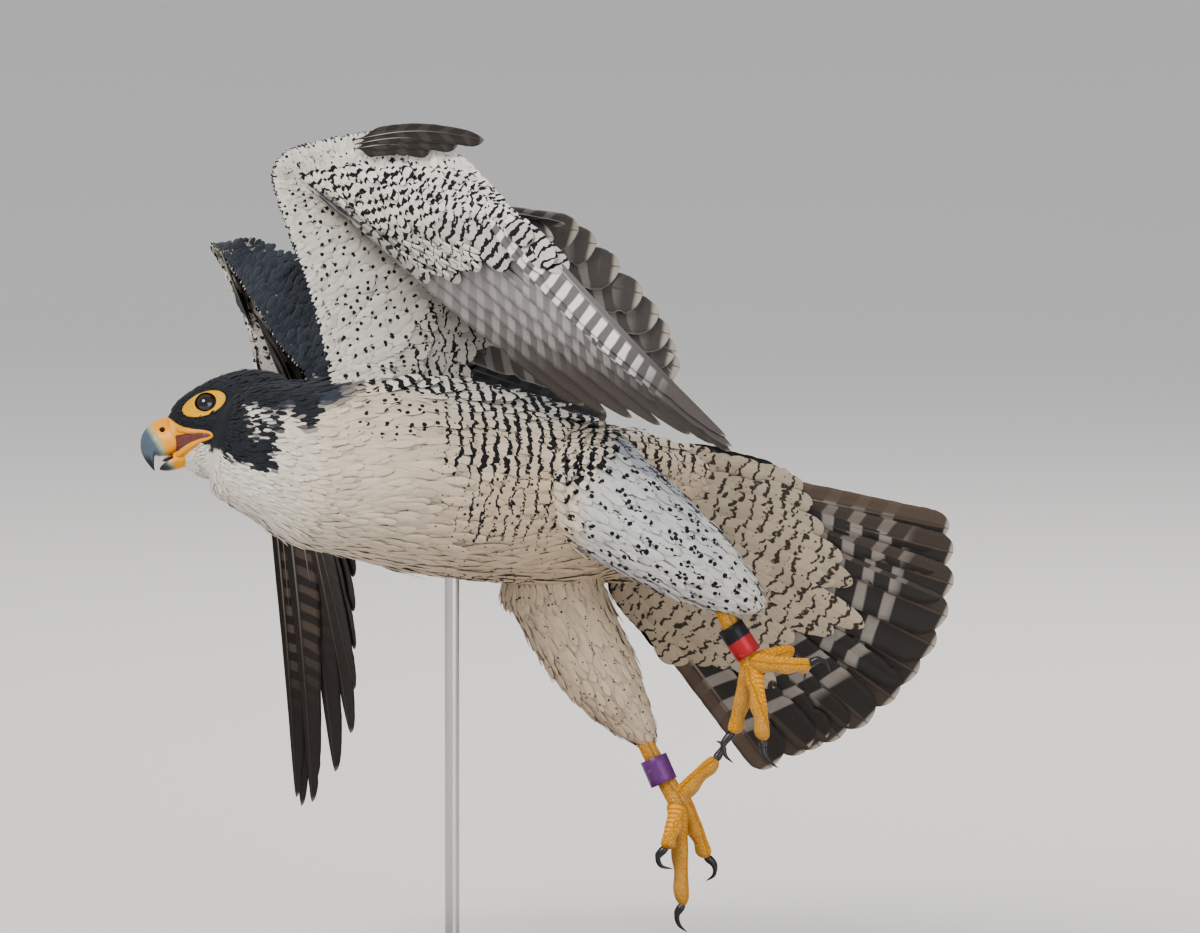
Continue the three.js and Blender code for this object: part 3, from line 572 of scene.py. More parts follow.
# ---------------------------------------------------------------- coat builder
class Coat:
    """closed little vanes, joined in one mesh"""

    def __init__(self):
        self.V, self.Q, self.base, self.mark, self.pat, self.loc, self.uv, self.nr = [], [], [], [], [], [], [], []
        self.n = 0
        self.roots, self.rbase, self.rmark, self.rpat = [], [], [], []

    def add(self, root, d, nrm, L, Wd, base, mark, pat, uv, lift=0.05, bend=0.0, cup=0.25, fat=0.07, fine=False, jag=0.0, brown=0.0, soft=0.35, pscale=1.0):
        m = len(root)
        if m == 0:
            return
        d = unit(d); nrm = unit(nrm - d * np.sum(nrm * d, -1, keepdims=True)); sd = np.cross(nrm, d)
        if fine:
            vs = np.array([0, .12, .28, .44, .58, .70, .80, .88, .94, .98, 1.0])
            wp = np.array([.25, .55, .82, .95, 1.0, .98, .90, .76, .57, .33, .10])
            ws = np.array([-1, -.5, 0, .5, 1, 0]); top = np.array([0, .8, 1, .8, 0, -1])
        else:
            vs = np.array([0, .2, .42, .62, .78, .90, .97, 1.0])
            wp = np.array([.3, .7, .95, 1.0, .90, .66, .38, .12])
            ws = np.array([-1, 0, 1, 0]); top = np.array([0, 1, 0, -1])
        R, K = len(vs), len(ws)
        L = np.asarray(L, float); Wd = np.asarray(Wd, float)
        lift = np.broadcast_to(np.asarray(lift, float), (m,)); bend = np.broadcast_to(np.asarray(bend, float), (m,))
        prof = np.repeat(wp[None], m, 0)
        if jag:
            prof = prof * (1 - jag * rng.random((m, R)) * (vs > 0.4))
        hw = 0.5 * Wd[:, None] * prof
        along = L[:, None] * vs
        z = along * lift[:, None] - bend[:, None] * along ** 2 / np.maximum(L[:, None], 1e-6)
        edge = hw[:, :, None] * ws
        zz = z[:, :, None] - cup * np.abs(ws) ** 2 * hw[:, :, None] + fat * Wd[:, None, None] * np.where(top < 0, 0.5, 1.0) * top * (1 - 0.6 * vs)[None, :, None]
        p = (root[:, None, None] + d[:, None, None] * along[:, :, None, None] + sd[:, None, None] * edge[..., None] + nrm[:, None, None] * zz[..., None])
        self.V.append(p.reshape(-1, 3))
        ids = (self.n + np.arange(m) * R * K)[:, None, None]
        k = np.arange(K); k2 = (k + 1) % K
        j = np.arange(R - 1)
        q = np.stack([j[:, None] * K + k, j[:, None] * K + k2, (j[:, None] + 1) * K + k2, (j[:, None] + 1) * K + k], -1).reshape(-1, 4)
        caps = [[3, 2, 1, 0]] if K == 4 else [[5, 2, 1, 0], [5, 4, 3, 2]]
        caps2 = [[(R - 1) * K + i for i in c[::-1]] for c in caps]
        q = np.concatenate([q, caps, caps2])[:, ::-1]
        self.Q.append((ids + q[None]).reshape(-1, 4))
        rep = lambda a: np.repeat(a, R * K, 0)
        bn = np.broadcast_to(np.asarray(brown, float).reshape(-1, 1), (m, 1))
        self.base.append(rep(np.concatenate([base, bn], 1)))
        nv = nrm[:, None, None] * np.where(top < 0, -1.0, 1.0)[None, None, :, None] + sd[:, None, None] * (ws * soft)[None, None, :, None] + d[:, None, None] * (0.25 * soft * (vs - 0.3))[None, :, None, None]
        self.nr.append(unit(nv).reshape(-1, 3))
        self.mark.append(rep(np.concatenate([mark, np.ones((m, 1))], 1)))
        pt = np.zeros((m, R, K, 3))
        pt[..., 0] = pat[:, 0][:, None, None] + along[:, :, None] * pscale
        pt[..., 1] = pat[:, 1][:, None, None] + edge
        pt[..., 2] = pat[:, 2][:, None, None]
        self.pat.append(pt.reshape(-1, 3))
        lc = np.zeros((m, R, K, 3)); lc[..., 0] = vs[None, :, None]; lc[..., 1] = ws[None, None]; lc[..., 2] = pat[:, 2][:, None, None]
        self.loc.append(lc.reshape(-1, 3))
        u = np.zeros((m, R, K, 2))
        u[..., 0] = uv[:, 0][:, None, None] + 0.0015 * ws[None, None]
        u[..., 1] = uv[:, 1][:, None, None] + 0.003 * (vs[None, :, None] - 0.5)
        self.uv.append(np.clip(u, 0, 1).reshape(-1, 2))
        self.n += m * R * K
        self.roots.append(root); self.rbase.append(base); self.rmark.append(mark); self.rpat.append(pat)

    def make(self, name, material):
        Q = np.concatenate(self.Q)
        me = build(name, W(np.concatenate(self.V)), Q)
        attr(me, "base", "FLOAT_COLOR", np.concatenate(self.base))
        attr(me, "mark", "FLOAT_COLOR", np.concatenate(self.mark))
        attr(me, "pat", "FLOAT_VECTOR", np.concatenate(self.pat))
        attr(me, "loc", "FLOAT_VECTOR", np.concatenate(self.loc))
        uv = np.concatenate(self.uv)
        lay = me.uv_layers.new(name="OFBake")
        lay.data.foreach_set("uv", uv[Q.ravel()].astype(np.float32).ravel())
        nr = np.concatenate(self.nr)
        nr = np.stack([nr[:, 0], nr[:, 1] * CL + nr[:, 2] * SL, -nr[:, 1] * SL + nr[:, 2] * CL], -1)
        me.normals_split_custom_set_from_vertices(nr.astype(np.float32))
        me.materials.append(material)
        return link(me, name)


# ---------------------------------------------------------------- markings
def poly_sd(px, py, poly):
    """signed distance to a polygon, positive inside"""
    poly = np.asarray(poly, float)
    d = np.full(px.shape, 1e9); inside = np.zeros(px.shape, bool)
    for i in range(len(poly)):
        ax, ay = poly[i]; bx, by = poly[(i + 1) % len(poly)]
        ex, ey = bx - ax, by - ay
        h = np.clip(((px - ax) * ex + (py - ay) * ey) / (ex * ex + ey * ey), 0, 1)
        d = np.minimum(d, np.hypot(px - ax - ex * h, py - ay - ey * h))
        cond = ((ay > py) != (by > py)) & (px < (bx - ax) * (py - ay) / (by - ay + 1e-12) + ax)
        inside ^= cond
    return np.where(inside, d, -d)


def head_uv(u, v):
    dx, dy = u - 206.0, v - 402.0
    return (-0.94 * dx + 0.34 * dy) * .55, (-0.34 * dx - 0.94 * dy) * .55


_hood = [(172, 412), (165, 380), (190, 330), (330, 300), (400, 330), (345, 372), (324, 392), (320, 428), (308, 433), (300, 414), (293, 398), (284, 402),
         (281, 425), (277, 450), (273, 468), (262, 470), (245, 464), (228, 457), (214, 444), (205, 440), (190, 433), (176, 430)]
HOOD = np.array([head_uv(*p) for p in _hood])


def side_xz(u, v, l):
    """head-frame x, z of a point of the near side seen at plan point u, v, l mm out from the middle"""
    k = 1 - 38 / FAR
    X, Z = (u - 600) * PLAN * k, (466.5 - v) * PLAN * k
    A = np.array([[HF[0], HU[0]], [HF[2], HU[2]]])
    return np.linalg.solve(A, np.array([X - HO[0] - HL[0] * l, Z - HO[2] - HL[2] * l]))


GAPE = np.array([side_xz(a_, b_, 11) for a_, b_ in [(176, 424), (193, 428), (206, 429.5), (214, 432), (215, 437.5), (206, 441), (199, 445), (192, 450.5), (185, 458), (178, 462), (168, 463), (160, 460), (150, 440), (160, 420)]])


def far_stripe(p):
    u, v = 600 + p[..., 0] / PLAN, 466.5 - p[..., 2] / PLAN
    l = headc(p)[1]
    d = np.full(u.shape, 1e9)
    for (ax, ay), (bx, by) in (((180, 474), (205, 491)), ((205, 491), (233, 510))):
        ex, ey = bx - ax, by - ay
        h = np.clip(((u - ax) * ex + (v - ay) * ey) / (ex * ex + ey * ey), 0, 1)
        d = np.minimum(d, np.hypot(u - ax - ex * h, v - ay - ey * h))
    return smooth(7.5, 6.0, d) * (l < 4)


CHEEK = np.array([head_uv(*p) for p in [(246, 404), (262, 400), (276, 410), (274, 432), (262, 442), (250, 430)]])
INK = np.array([0.020, 0.024, 0.031]); CREAM = np.array([0.64, 0.57, 0.465]); BUFF = np.array([0.50, 0.39, 0.28])
WHITE = np.array([0.75, 0.73, 0.68]); SLATE = np.array([0.040, 0.049, 0.068]); SLATE_PALE = np.array([0.145, 0.165, 0.195])
# grey-buff: painted shade for the shadowed lining under the arms
GREYBUFF_LINING_SHADE = np.array([0.42, 0.38, 0.33])


def lerp3(a, b, f):
    return a + (b - a) * f[..., None]


def head_marks(p):
    """1 where the hood is dark, and how speckled the cheek is"""
    x, l, z = headc(p)
    zs = z * 0.951 + np.abs(l) * 0.309 - 4.7
    rag = 1.6 * np.sin(x * 1.9 + np.abs(l)) * np.sin(zs * 1.3) + 1.2 * np.sin(x * 3.7 + zs * 2.9)
    return smooth(-0.8, 0.8, poly_sd(x, zs, HOOD) + rag), smooth(-1, 2.5, poly_sd(x, zs, CHEEK) + rag)


def body_marks(t, a, p):
    """base colour and marks for a place on the trunk or neck; the far side mirrors the near one"""
    am = np.where(np.cos(a) >= 0, a, math.pi - a)
    q = body(t, am)
    k = 1 + q[..., 1] / FAR
    u, v = q[..., 0] / PLAN / k + 600, 466.5 - q[..., 2] / PLAN / k
    sa, ca = np.sin(am), np.cos(am)
    hood, cheek = head_marks(p)
    n = rng.normal(0, 1, t.shape)
    # pale ground: cream throat and breast, buffer belly and flank
    belly = smooth(470, 330, u) * 0 + smooth(380, 520, u)
    base = lerp3(np.broadcast_to(CREAM, p.shape), np.broadcast_to(BUFF, p.shape), np.clip(0.30 * smooth(300, 420, u) + 0.45 * belly * smooth(0.2, -0.7, sa), 0, 1))
    base = lerp3(base, np.broadcast_to(WHITE, p.shape), smooth(0.0, 0.5, sa) * 0.5 * smooth(380, 440, u))
    base = lerp3(base, np.broadcast_to(WHITE, p.shape), smooth(330, 250, u) * 0.7)
    # back: slate, with paler blue rump
    back = smooth(0.60, 0.74, sa + 0.03 * n)
    nape = smooth(0.34, 0.5, sa + 0.02 * n) * smooth(360, 330, u)
    back = np.maximum(back, nape)
    slate = lerp3(np.broadcast_to(SLATE, p.shape), np.broadcast_to(SLATE_PALE, p.shape), smooth(430, 620, u))
    bars = np.zeros(t.shape); spots = np.zeros(t.shape); fringe = np.zeros(t.shape)
    flank = smooth(425, 450, u) * smooth(602, 580, u) * smooth(484, 462, v) * smooth(0.62, 0.45, sa)
    low = smooth(430, 460, u) * smooth(566, 540, u) * smooth(560, 530, v) * smooth(455, 480, v)
    bars = np.maximum(0.86 * flank, 0.38 * low)
    bars = np.maximum(bars, 0.65 * smooth(590, 620, u) * smooth(0.9, 0.3, np.abs(sa)))
    spots = np.maximum(0.8 * smooth(335, 360, u) * smooth(450, 425, u) * smooth(452, 425, v), 0.55 * low)
    spots = np.maximum(spots, 0.35 * smooth(480, 520, u) * smooth(610, 585, u) * smooth(0.2, -0.2, sa))
    spots = np.maximum(spots, 0.28 * smooth(390, 440, u) * smooth(0.35, 0.0, sa))
    base = lerp3(base, slate, back)
    bars = np.where(back > 0.5, 0.35 * smooth(520, 600, u), bars)
    spots = np.where(back > 0.5, 0, spots); fringe = np.where(back > 0.5, 0.12 * smooth(380, 430, u), 0)
    inhead = smooth(345, 322, u)
    dark = np.maximum(hood * inhead, far_stripe(p))
    base = lerp3(base, np.broadcast_to(INK, p.shape), dark)
    sp = cheek * (rng.random(t.shape) < 0.55)
    base = lerp3(base, np.broadcast_to(WHITE * 0.85, p.shape), sp * inhead)
    off = dark > 0.5
    bars = np.where(off, 0, bars); spots = np.where(off, 0, spots)
    base = base * (1 + 0.05 * rng.normal(0, 1, t.shape))[..., None]
    return base, np.stack([bars, spots, fringe], -1)


# ================================================================= skin
def grow_in(fn_verts):
    return fn_verts


parts = []
vb, qb, tb = closed_loft("b", lambda t, a: body(t, a, -2.0), 90, 72, 0.004, 0.996)
parts.append((vb, qb, tb))
vf, qf, tf = closed_loft("f", blade(FACE, 0.12, -1.2), 60, 56, 0.02, 0.98)
parts.append((vf, qf, tf))
for side in ("left", "right"):
    parts.append(closed_loft("t", thigh_fn(LEGS[side]["thigh"], -2.0), 50, 40, 0.01, 0.97))
wings = {s: Wing(s) for s in ("left", "right")}
for side, wg in wings.items():
    nu, nv = 150, 26
    S, C = np.meshgrid(np.linspace(0.0, 1, nu), np.linspace(0, 1, nv), indexing="ij")
    _, B_, T_, a_, b_ = wg.parts(S)
    cmax = np.minimum(0.34, (a_ + 24) / (a_ + b_))
    cc = 0.004 + C * cmax
    mid = wg.at(S, cc); nn = wg.normal(S, cc)
    th = np.maximum(2.0, wg.thick(S, cc) - 3.2) / 2
    edge = np.sin(np.clip(C * 12, 0, 1) * math.pi / 2) * np.sin(np.clip((1 - C) * 8, 0, 1) * math.pi / 2) * 0.8 + 0.2
    th = th * edge
    up, dn = mid + nn * th[..., None], mid - nn * th[..., None]
    vv = np.concatenate([up.reshape(-1, 3), dn.reshape(-1, 3)])
    g = grid_faces(nu, nv, False)
    o = nu * nv
    idx = np.arange(o).reshape(nu, nv)
    loop = np.concatenate([idx[0, :], idx[1:, -1], idx[-1, -2::-1], idx[-2:0:-1, 0]])
    l2 = np.roll(loop, -1)
    sides = np.stack([loop, l2, l2 + o, loop + o], 1)
    parts.append((vv, np.concatenate([g, g[:, ::-1] + o, sides]), np.zeros((0, 3), int)))
V_, Q_, T_ = [], [], []
off = 0
for v_, q_, t_ in parts:
    V_.append(v_); Q_.append(q_ + off); T_.append(t_ + off); off += len(v_)
raw = outward(build("skin_raw", W(np.concatenate(V_)), np.concatenate(Q_), np.concatenate(T_)))
skin = link(raw, "skin")
mod = skin.modifiers.new("r", "REMESH"); mod.mode = "VOXEL"; mod.voxel_size = 0.0019; mod.adaptivity = 0
mod2 = skin.modifiers.new("s", "SMOOTH"); mod2.factor = 0.5; mod2.iterations = 6
dg = bpy.context.evaluated_depsgraph_get()
new = bpy.data.meshes.new_from_object(skin.evaluated_get(dg))
skin.modifiers.clear(); skin.data = new; new.name = "skin"
new.shade_smooth()
bvh = BVHTree.FromObject(skin, bpy.context.evaluated_depsgraph_get())


def near_skin(p_mm, within, outside_only=True):
    """keeps points that lie close to the joined skin, and drops those buried in a neighbour"""
    w = W(p_mm)
    keep = np.zeros(len(w), bool)
    for i, q in enumerate(w):
        hit = bvh.find_nearest(Vector(q))
        if hit[0] is None:
            continue
        d = (Vector(q) - hit[0])
        dist = d.length * 1000
        inside = d.dot(hit[1]) < 0
        keep[i] = dist < within if inside else dist < within * 2.2
    return keep


def unburied(p_mm, deep=2.0):
    w = W(p_mm)
    keep = np.ones(len(w), bool)
    for i, q in enumerate(w):
        hit = bvh.find_nearest(Vector(q), 0.03)
        if hit[0] is not None:
            d_ = Vector(q) - hit[0]
            if d_.dot(hit[1]) < 0 and d_.length * 1000 > deep:
                keep[i] = False
    return keep


contour = contour_material("plumage")
skin_mat = contour_material("plumage_ground", skin=True)

# ================================================================= body coat
def body_rows(t_start, t_end, pitch, gap, length, width):
    """rows of feathers round the trunk, staggered; all sizes are functions of t"""
    out = []
    s = arc_of(t_end)
    lo = arc_of(t_start)
    k = 0
    while s > lo:
        t = float(t_of(s))
        r = body_at(np.array([t]))[0]
        circ = math.pi * (3 * (r[3] + (r[4] + r[5]) / 2) - math.sqrt((3 * r[3] + (r[4] + r[5]) / 2) * (r[3] + 3 * (r[4] + r[5]) / 2)))
        n = max(8, int(circ / gap(t)))
        a = (np.arange(n) + 0.5 * (k % 2)) / n * 2 * math.pi + rng.normal(0, 0.12, n) * 2 * math.pi / n
        tt = np.array([float(t_of(s + e)) for e in rng.normal(0, 0.16, n) * pitch(t)])
        out.append((tt, a))
        s -= pitch(t); k += 1
    t = np.concatenate([o[0] for o in out]); a = np.concatenate([o[1] for o in out])
    return np.clip(t, 0.002, 0.998), a


def place_body(coat, t, a, length, width, fine, lift, sink=1.2):
    e = 0.004
    p = body(t, a, -sink)
    pt = body(np.clip(t + e, 0, 1), a) - body(np.clip(t - e, 0, 1), a)
    pa = body(t, a + e) - body(t, a - e)
    nrm = unit(np.cross(pt, pa))
    cen = body_at(t)[..., :3]
    nrm = np.where((np.sum(nrm * (p - cen), -1) < 0)[:, None], -nrm, nrm)
    d = -unit(pt)
    keep = near_skin(p, 2.6)
    x, l, z = headc(p)
    keep &= ~((x > 16.5) & (z < 8)) & ~((t > 0.945) & (z < 4))
    t, a, p, nrm, d = t[keep], a[keep], p[keep], nrm[keep], d[keep]
    d = unit(d + 0.10 * rng.normal(0, 1, d.shape))
    L = length(t) * (1 + 0.10 * rng.normal(0, 1, len(t))); Wd = width(t) * (1 + 0.08 * rng.normal(0, 1, len(t)))
    tip = p + d * L[:, None] * 0.7
    base, mark = body_marks(t, a, tip)
    r = body_at(t)
    pat = np.stack([-arc_of(t) + 400 + 0.5 * rng.normal(0, 1, len(t)), np.where(np.cos(a) >= 0, a, math.pi - a) * r[..., 3] * 0.9, rng.random(len(t))], -1)
    uv = np.stack([0.02 + (a % (2 * math.pi)) / (2 * math.pi) * 0.46, 0.02 + t * 0.46], -1)
    R = (r[..., 3] + r[..., 4]) / 2
    coat.add(p, d, nrm, L, Wd, base, mark, pat, uv, lift=lift, bend=0.45 * L / R, cup=0.10, fat=0.05, fine=fine, brown=0.35 * smooth(600, 660, 600 + p[:, 0] / .55))


size_t = table([[4.5], [9], [13], [15], [15], [14.5], [13.5], [12], [10], [7.5], [6], [4.6], [3.8], [3.4]])
length_t = lambda t: size_t(t)[..., 0] * 1.25
width_t = lambda t: size_t(t)[..., 0] * 0.40
pitch_t = lambda t: float(size_t(np.array([t]))[0, 0]) * 0.33
gap_t = lambda t: float(size_t(np.array([t]))[0, 0]) * 0.31

coats = []
for name, t0, t1, fine in (("coat_trunk_rear", 0.02, 0.36, False), ("coat_trunk_front", 0.36, 0.62, False), ("coat_neck", 0.62, 0.78, False), ("coat_nape", 0.78, 0.99, False)):
    c = Coat()
    t, a = body_rows(t0, t1, pitch_t, gap_t, None, None)
    place_body(c, t, a, length_t, width_t, fine, 0.035)
    coats.append((name, c))

# face
c = Coat()
ft = []
for i, t in enumerate(np.linspace(0.06, 0.93, 56)):
    ring = face(np.full(64, t), np.linspace(0, 2 * math.pi, 64))
    circ = np.linalg.norm(np.diff(ring, axis=0), axis=1).sum()
    n = max(8, int(circ / (0.95 + 0.95 * t)))
    a = (np.arange(n) + 0.5 * (i % 2)) / n * 2 * math.pi + rng.normal(0, 0.01, n)
    ft.append(np.stack([np.full(n, t) + rng.normal(0, 0.003, n), a], 1))
ft = np.concatenate(ft)
t, a = ft[:, 0], ft[:, 1]
e = 0.004
facein = blade(FACE, 0.12, -0.7)
p = facein(t, a)
pt = face(t + e, a) - face(t - e, a); pa = face(t, a + e) - face(t, a - e)
nrm = unit(np.cross(pt, pa))
cen = np.stack([face(t, np.full_like(t, q)) for q in (0, math.pi / 2, math.pi, -math.pi / 2)]).mean(0)
nrm = np.where((np.sum(nrm * (p - cen), -1) < 0)[:, None], -nrm, nrm)
x, l, z = headc(p)
back = -HF * 1.0 - HU * 0.12 + 0.0 * HL
d = np.broadcast_to(back, p.shape) - nrm * (nrm @ back)[:, None]
keep = near_skin(p, 1.8)
rx, rz = x + 1.0 - 1.2, z - 0.8
keep &= ~(((rx / 12.3) ** 2 + (rz / 7.5) ** 2 < 1) & (np.abs(l) > 8))
keep &= ~((x > 17.2))
keep &= ~((poly_sd(x, z, GAPE) > -0.4) & (np.abs(l) > 3))
t, a, p, nrm, d, x, z = t[keep], a[keep], p[keep], nrm[keep], unit(d[keep]), x[keep], z[keep]
d = unit(d + 0.12 * rng.normal(0, 1, d.shape))
Lf = np.interp(x, [-40, -10, 10, 20], [5.6, 4.6, 3.0, 1.9]) * (1 + 0.12 * rng.normal(0, 1, len(x)))
hood, cheek = head_marks(p + d * (Lf * 0.6)[:, None])
hood = np.maximum(hood, far_stripe(p + d * (Lf * 0.6)[:, None]))
base = lerp3(np.broadcast_to(WHITE, p.shape), np.broadcast_to(INK, p.shape), hood)
base = lerp3(base, np.broadcast_to(WHITE * 0.8, p.shape), cheek * (rng.random(len(x)) < 0.5))
base = base * (1 + 0.08 * rng.normal(0, 1, len(x)))[:, None]
mark = np.zeros((len(x), 3)); mark[:, 2] = 0.06
pat = np.stack([x + 200, z, rng.random(len(x))], -1)
uv = np.stack([0.52 + (a % (2 * math.pi)) / (2 * math.pi) * 0.22, 0.02 + t * 0.2], -1)
c.add(p, d, nrm, Lf, Lf * 0.36, base, mark, pat, uv, lift=0.05, bend=0.10, cup=0.12, fat=0.07, soft=0.25)
coats.append(("coat_face", c))

# thighs
for side in ("left", "right"):
    c = Coat()
    fn = thigh_fn(LEGS[side]["thigh"], -1.3); f0 = thigh_fn(LEGS[side]["thigh"])
    ta = []
    for i, t in enumerate(np.linspace(0.06, 0.965, 48)):
        ring = f0(np.full(48, t), np.linspace(0, 2 * math.pi, 48))
        circ = np.linalg.norm(np.diff(ring, axis=0), axis=1).sum()
        n = max(7, int(circ / np.interp(t, [0, .7, 1], [3.3, 2.6, 1.8])))
        ta.append(np.stack([np.full(n, t) + rng.normal(0, 0.006, n), (np.arange(n) + 0.5 * (i % 2)) / n * 2 * math.pi + rng.normal(0, 0.03, n)], 1))
    ta = np.concatenate(ta); t, a = ta[:, 0], ta[:, 1]
    p = fn(t, a)
    pt = f0(t + e, a) - f0(t - e, a); pa = f0(t, a + e) - f0(t, a - e)
    cen = 0.5 * (f0(t, a) + f0(t, a + math.pi))
    nrm = unit(np.cross(pt, pa)); nrm = np.where((np.sum(nrm * (p - cen), -1) < 0)[:, None], -nrm, nrm)
    d = unit(pt)
    keep = near_skin(p, 2.2)
    t, a, p, nrm, d, cen = t[keep], a[keep], p[keep], nrm[keep], d[keep], cen[keep]
    d = unit(d + 0.10 * rng.normal(0, 1, d.shape))
    Lf = np.interp(t, [0, .5, .85, 1], [12, 11, 8, 5]) * (1 + 0.1 * rng.normal(0, 1, len(t)))
    m = len(t)
    if side == "left":
        base = lerp3(np.broadcast_to(np.array([0.56, 0.57, 0.575]), p.shape), np.broadcast_to(CREAM, p.shape), smooth(0.5, 1.0, t) * 0.5)
        spots = np.full(m, 0.85)
        pu, pv = 600 + p[:, 0] / PLAN, 466.5 - p[:, 2] / PLAN
        rump = smooth(592, 606, pu) * smooth(12, 4, pv - (446 + 0.72 * (pu - 620)))
        base = lerp3(base, np.broadcast_to(np.array([0.37, 0.39, 0.43]), p.shape), rump)
        flank = smooth(600, 590, pu + 0.5 * (pv - 455)) * smooth(482, 470, pv)
        low = smooth(590, 560, pu) * (1 - flank)
        base = lerp3(base, np.broadcast_to(CREAM, p.shape), np.maximum(flank, low))
    else:
        base = lerp3(np.broadcast_to(CREAM, p.shape), np.broadcast_to(BUFF, p.shape), np.full(m, 0.6))
        spots = np.full(m, 0.32)
    base = base * (1 + 0.05 * rng.normal(0, 1, m))[:, None]
    mark = np.stack([np.zeros(m), spots, np.zeros(m)], -1)
    arc = t * 120
    pat = np.stack([arc, a * 20, rng.random(m)], -1)
    if side == "left":
        mark[:, 0] = np.maximum(flank, 0.3 * rump); mark[:, 1] *= 1 - flank
        pat[:, 0] = np.where(flank > 0.5, (pu - 600) * PLAN + 7.0, pat[:, 0]); pat[:, 1] = np.where(flank > 0.5, (pv - 466) * PLAN, pat[:, 1])
    uo = 0.52 if side == "left" else 0.76
    uv = np.stack([uo + (a % (2 * math.pi)) / (2 * math.pi) * 0.2, 0.26 + t * 0.2], -1)
    c.add(p, d, nrm, Lf, Lf * 0.36, base, mark, pat, uv, lift=0.04, bend=0.08, cup=0.12, fat=0.06, fine=False)
    coats.append(("coat_thigh_" + side, c))

# wing coverts, both faces
NROW = 16


def reach(s, a, under=True):
    """how far the small coverts run back from the leading edge, in mm"""
    return a + 12 + (36 if under else 6) * smooth(SPLIT - 0.03, SPLIT + 0.06, s)


for side, wg in wings.items():
    for face_name, fs in (("under", 1.0), ("upper", -1.0)):
        c = Coat()
        rows = [(q, False) for q in np.linspace(0.015, 0.93, NROW)] + [(1.0, True), (1.14, True)]
        for i, (q, big) in enumerate(rows):
            ss = np.linspace(0.01, 0.995, 400)
            _, _, _, a_, b_ = wg.parts(ss)
            bone = reach(ss, a_, fs > 0)
            cc = q * bone / (a_ + b_)
            line = wg.at(ss, cc)
            cum = np.concatenate([[0], np.cumsum(np.linalg.norm(np.diff(line, axis=0), axis=1))])
            gap = 2.3 if i < 2 else 3.0 if i < 4 else 3.9 if i < 8 else 4.6 if i < NROW else (8.5 if i == NROW else 11)
            n = int(cum[-1] / gap)
            s = np.interp((np.arange(n) + 0.5 * (i % 2) + rng.normal(0, .12, n)) * gap, cum, ss)
            _, _, _, a_, b_ = wg.parts(s)
            tot = a_ + b_
            jit = 0.0 if big else rng.normal(0, 0.012, n)
            c0 = np.maximum(0.003, (q + jit) * reach(s, a_, fs > 0) / tot)
            nrm = wg.normal(s, c0) * fs
            th = wg.thick(s, c0) / 2
            p = wg.at(s, c0) + nrm * np.maximum(0.7 if i < 2 else 1.0, th - 0.7)[:, None]
            d = unit(wg.at(s, c0 + 0.01) - wg.at(s, c0 - 0.01) + 0)
            ds = unit(wg.at(np.clip(s + .01, 0, 1), c0) - wg.at(np.clip(s - .01, 0, 1), c0))
            d = unit(d + 0.10 * ds + 0.07 * rng.normal(0, 1, d.shape))
            pitch = reach(s, a_, fs > 0) * 0.92 / NROW
            Lf = np.maximum(4.5, pitch * 2.6) if not big else np.where(s < SPLIT, 30.0, 34.0) * (0.75 if i == NROW else 1.05)
            if not big and i >= NROW - 3:
                Lf = np.maximum(Lf, 11.0)
            Lf = Lf * (1 + 0.08 * rng.normal(0, 1, n))
            if fs < 0 and not big:
                Lf = np.where(s > 0.42, np.minimum(Lf, 9.0), Lf)
            if i < 2:
                Lf = np.minimum(Lf, 6.0)
            elif i < 4:
                Lf = np.minimum(Lf, 9.0)
            Wd = np.clip(Lf * 0.5, 2.6, 10) if not big else np.full(n, 12.5 if i == NROW else 16.0)
            m = n
            arm = smooth(SPLIT + 0.02, SPLIT - 0.02, s)
            if fs > 0:
                # painted shade: the arm's under coverts are blended from white toward grey-buff, more in the rearward
                # rows, for the shadow on the wing lining
                shade = 1 - 0.38 * arm * smooth(0.2, 0.8, q) * np.ones(m)
                base = lerp3(np.broadcast_to(WHITE, (m, 3)), np.broadcast_to(GREYBUFF_LINING_SHADE, (m, 3)), arm * (0.15 + 0.45 * q))
                if big:
                    base = lerp3(base, np.broadcast_to(np.array([0.40, 0.385, 0.375]), (m, 3)), np.full(m, 0.55))
                handbars = smooth(0.12, 0.32, q + 0.05 * rng.normal(0, 1, m)) * (1 - arm)
                bars = np.maximum(0.72 * handbars, arm * (0.45 if q > 0.85 else 0.0))
                spots = np.maximum(arm * (0.72 if q < 0.9 else 0.3), (1 - arm) * 0.5 * smooth(0.35, 0.2, q))
                wu, wv = 600 + p[:, 0] / PLAN, 466.5 - p[:, 2] / PLAN
                if side == "right":
                    spots = np.full(m, 0.9); bars = bars * 0.3
                fringe = np.zeros(m)
            else:
                base = lerp3(np.broadcast_to(SLATE, (m, 3)), np.broadcast_to(SLATE_PALE, (m, 3)), (0.10 if side == "right" else 0.3) + 0.12 * rng.random(m))
                bars = np.full(m, 0.0); spots = np.zeros(m); fringe = np.full(m, 0.18)
            base = base * (1 + 0.06 * rng.normal(0, 1, m))[:, None]
            mark = np.stack([bars, spots, fringe], -1)
            pat = np.stack([c0 * tot, s * 350, rng.random(m)], -1)
            uo, vo = (0.02 if side == "left" else 0.27), (0.52 if fs > 0 else 0.76)
            uv = np.stack([uo + s * 0.22, vo + np.clip(c0, 0, 1) * 0.5], -1)
            keep = np.ones(m, bool)
            keep = unburied(p)
            if big:
                keep &= s < (0.97 if fs > 0 else 0.50)
            lift = 0.03 if not big else 0.008
            sel = keep
            c.add(p[sel], d[sel], nrm[sel], Lf[sel], Wd[sel], base[sel], mark[sel], pat[sel], uv[sel], lift=lift, bend=0.012, cup=0.06, fat=0.045 if not big else 0.035, fine=big, jag=0.06 if big else 0, soft=0.25)
        coats.append(("coverts_%s_%s" % (side, face_name), c))

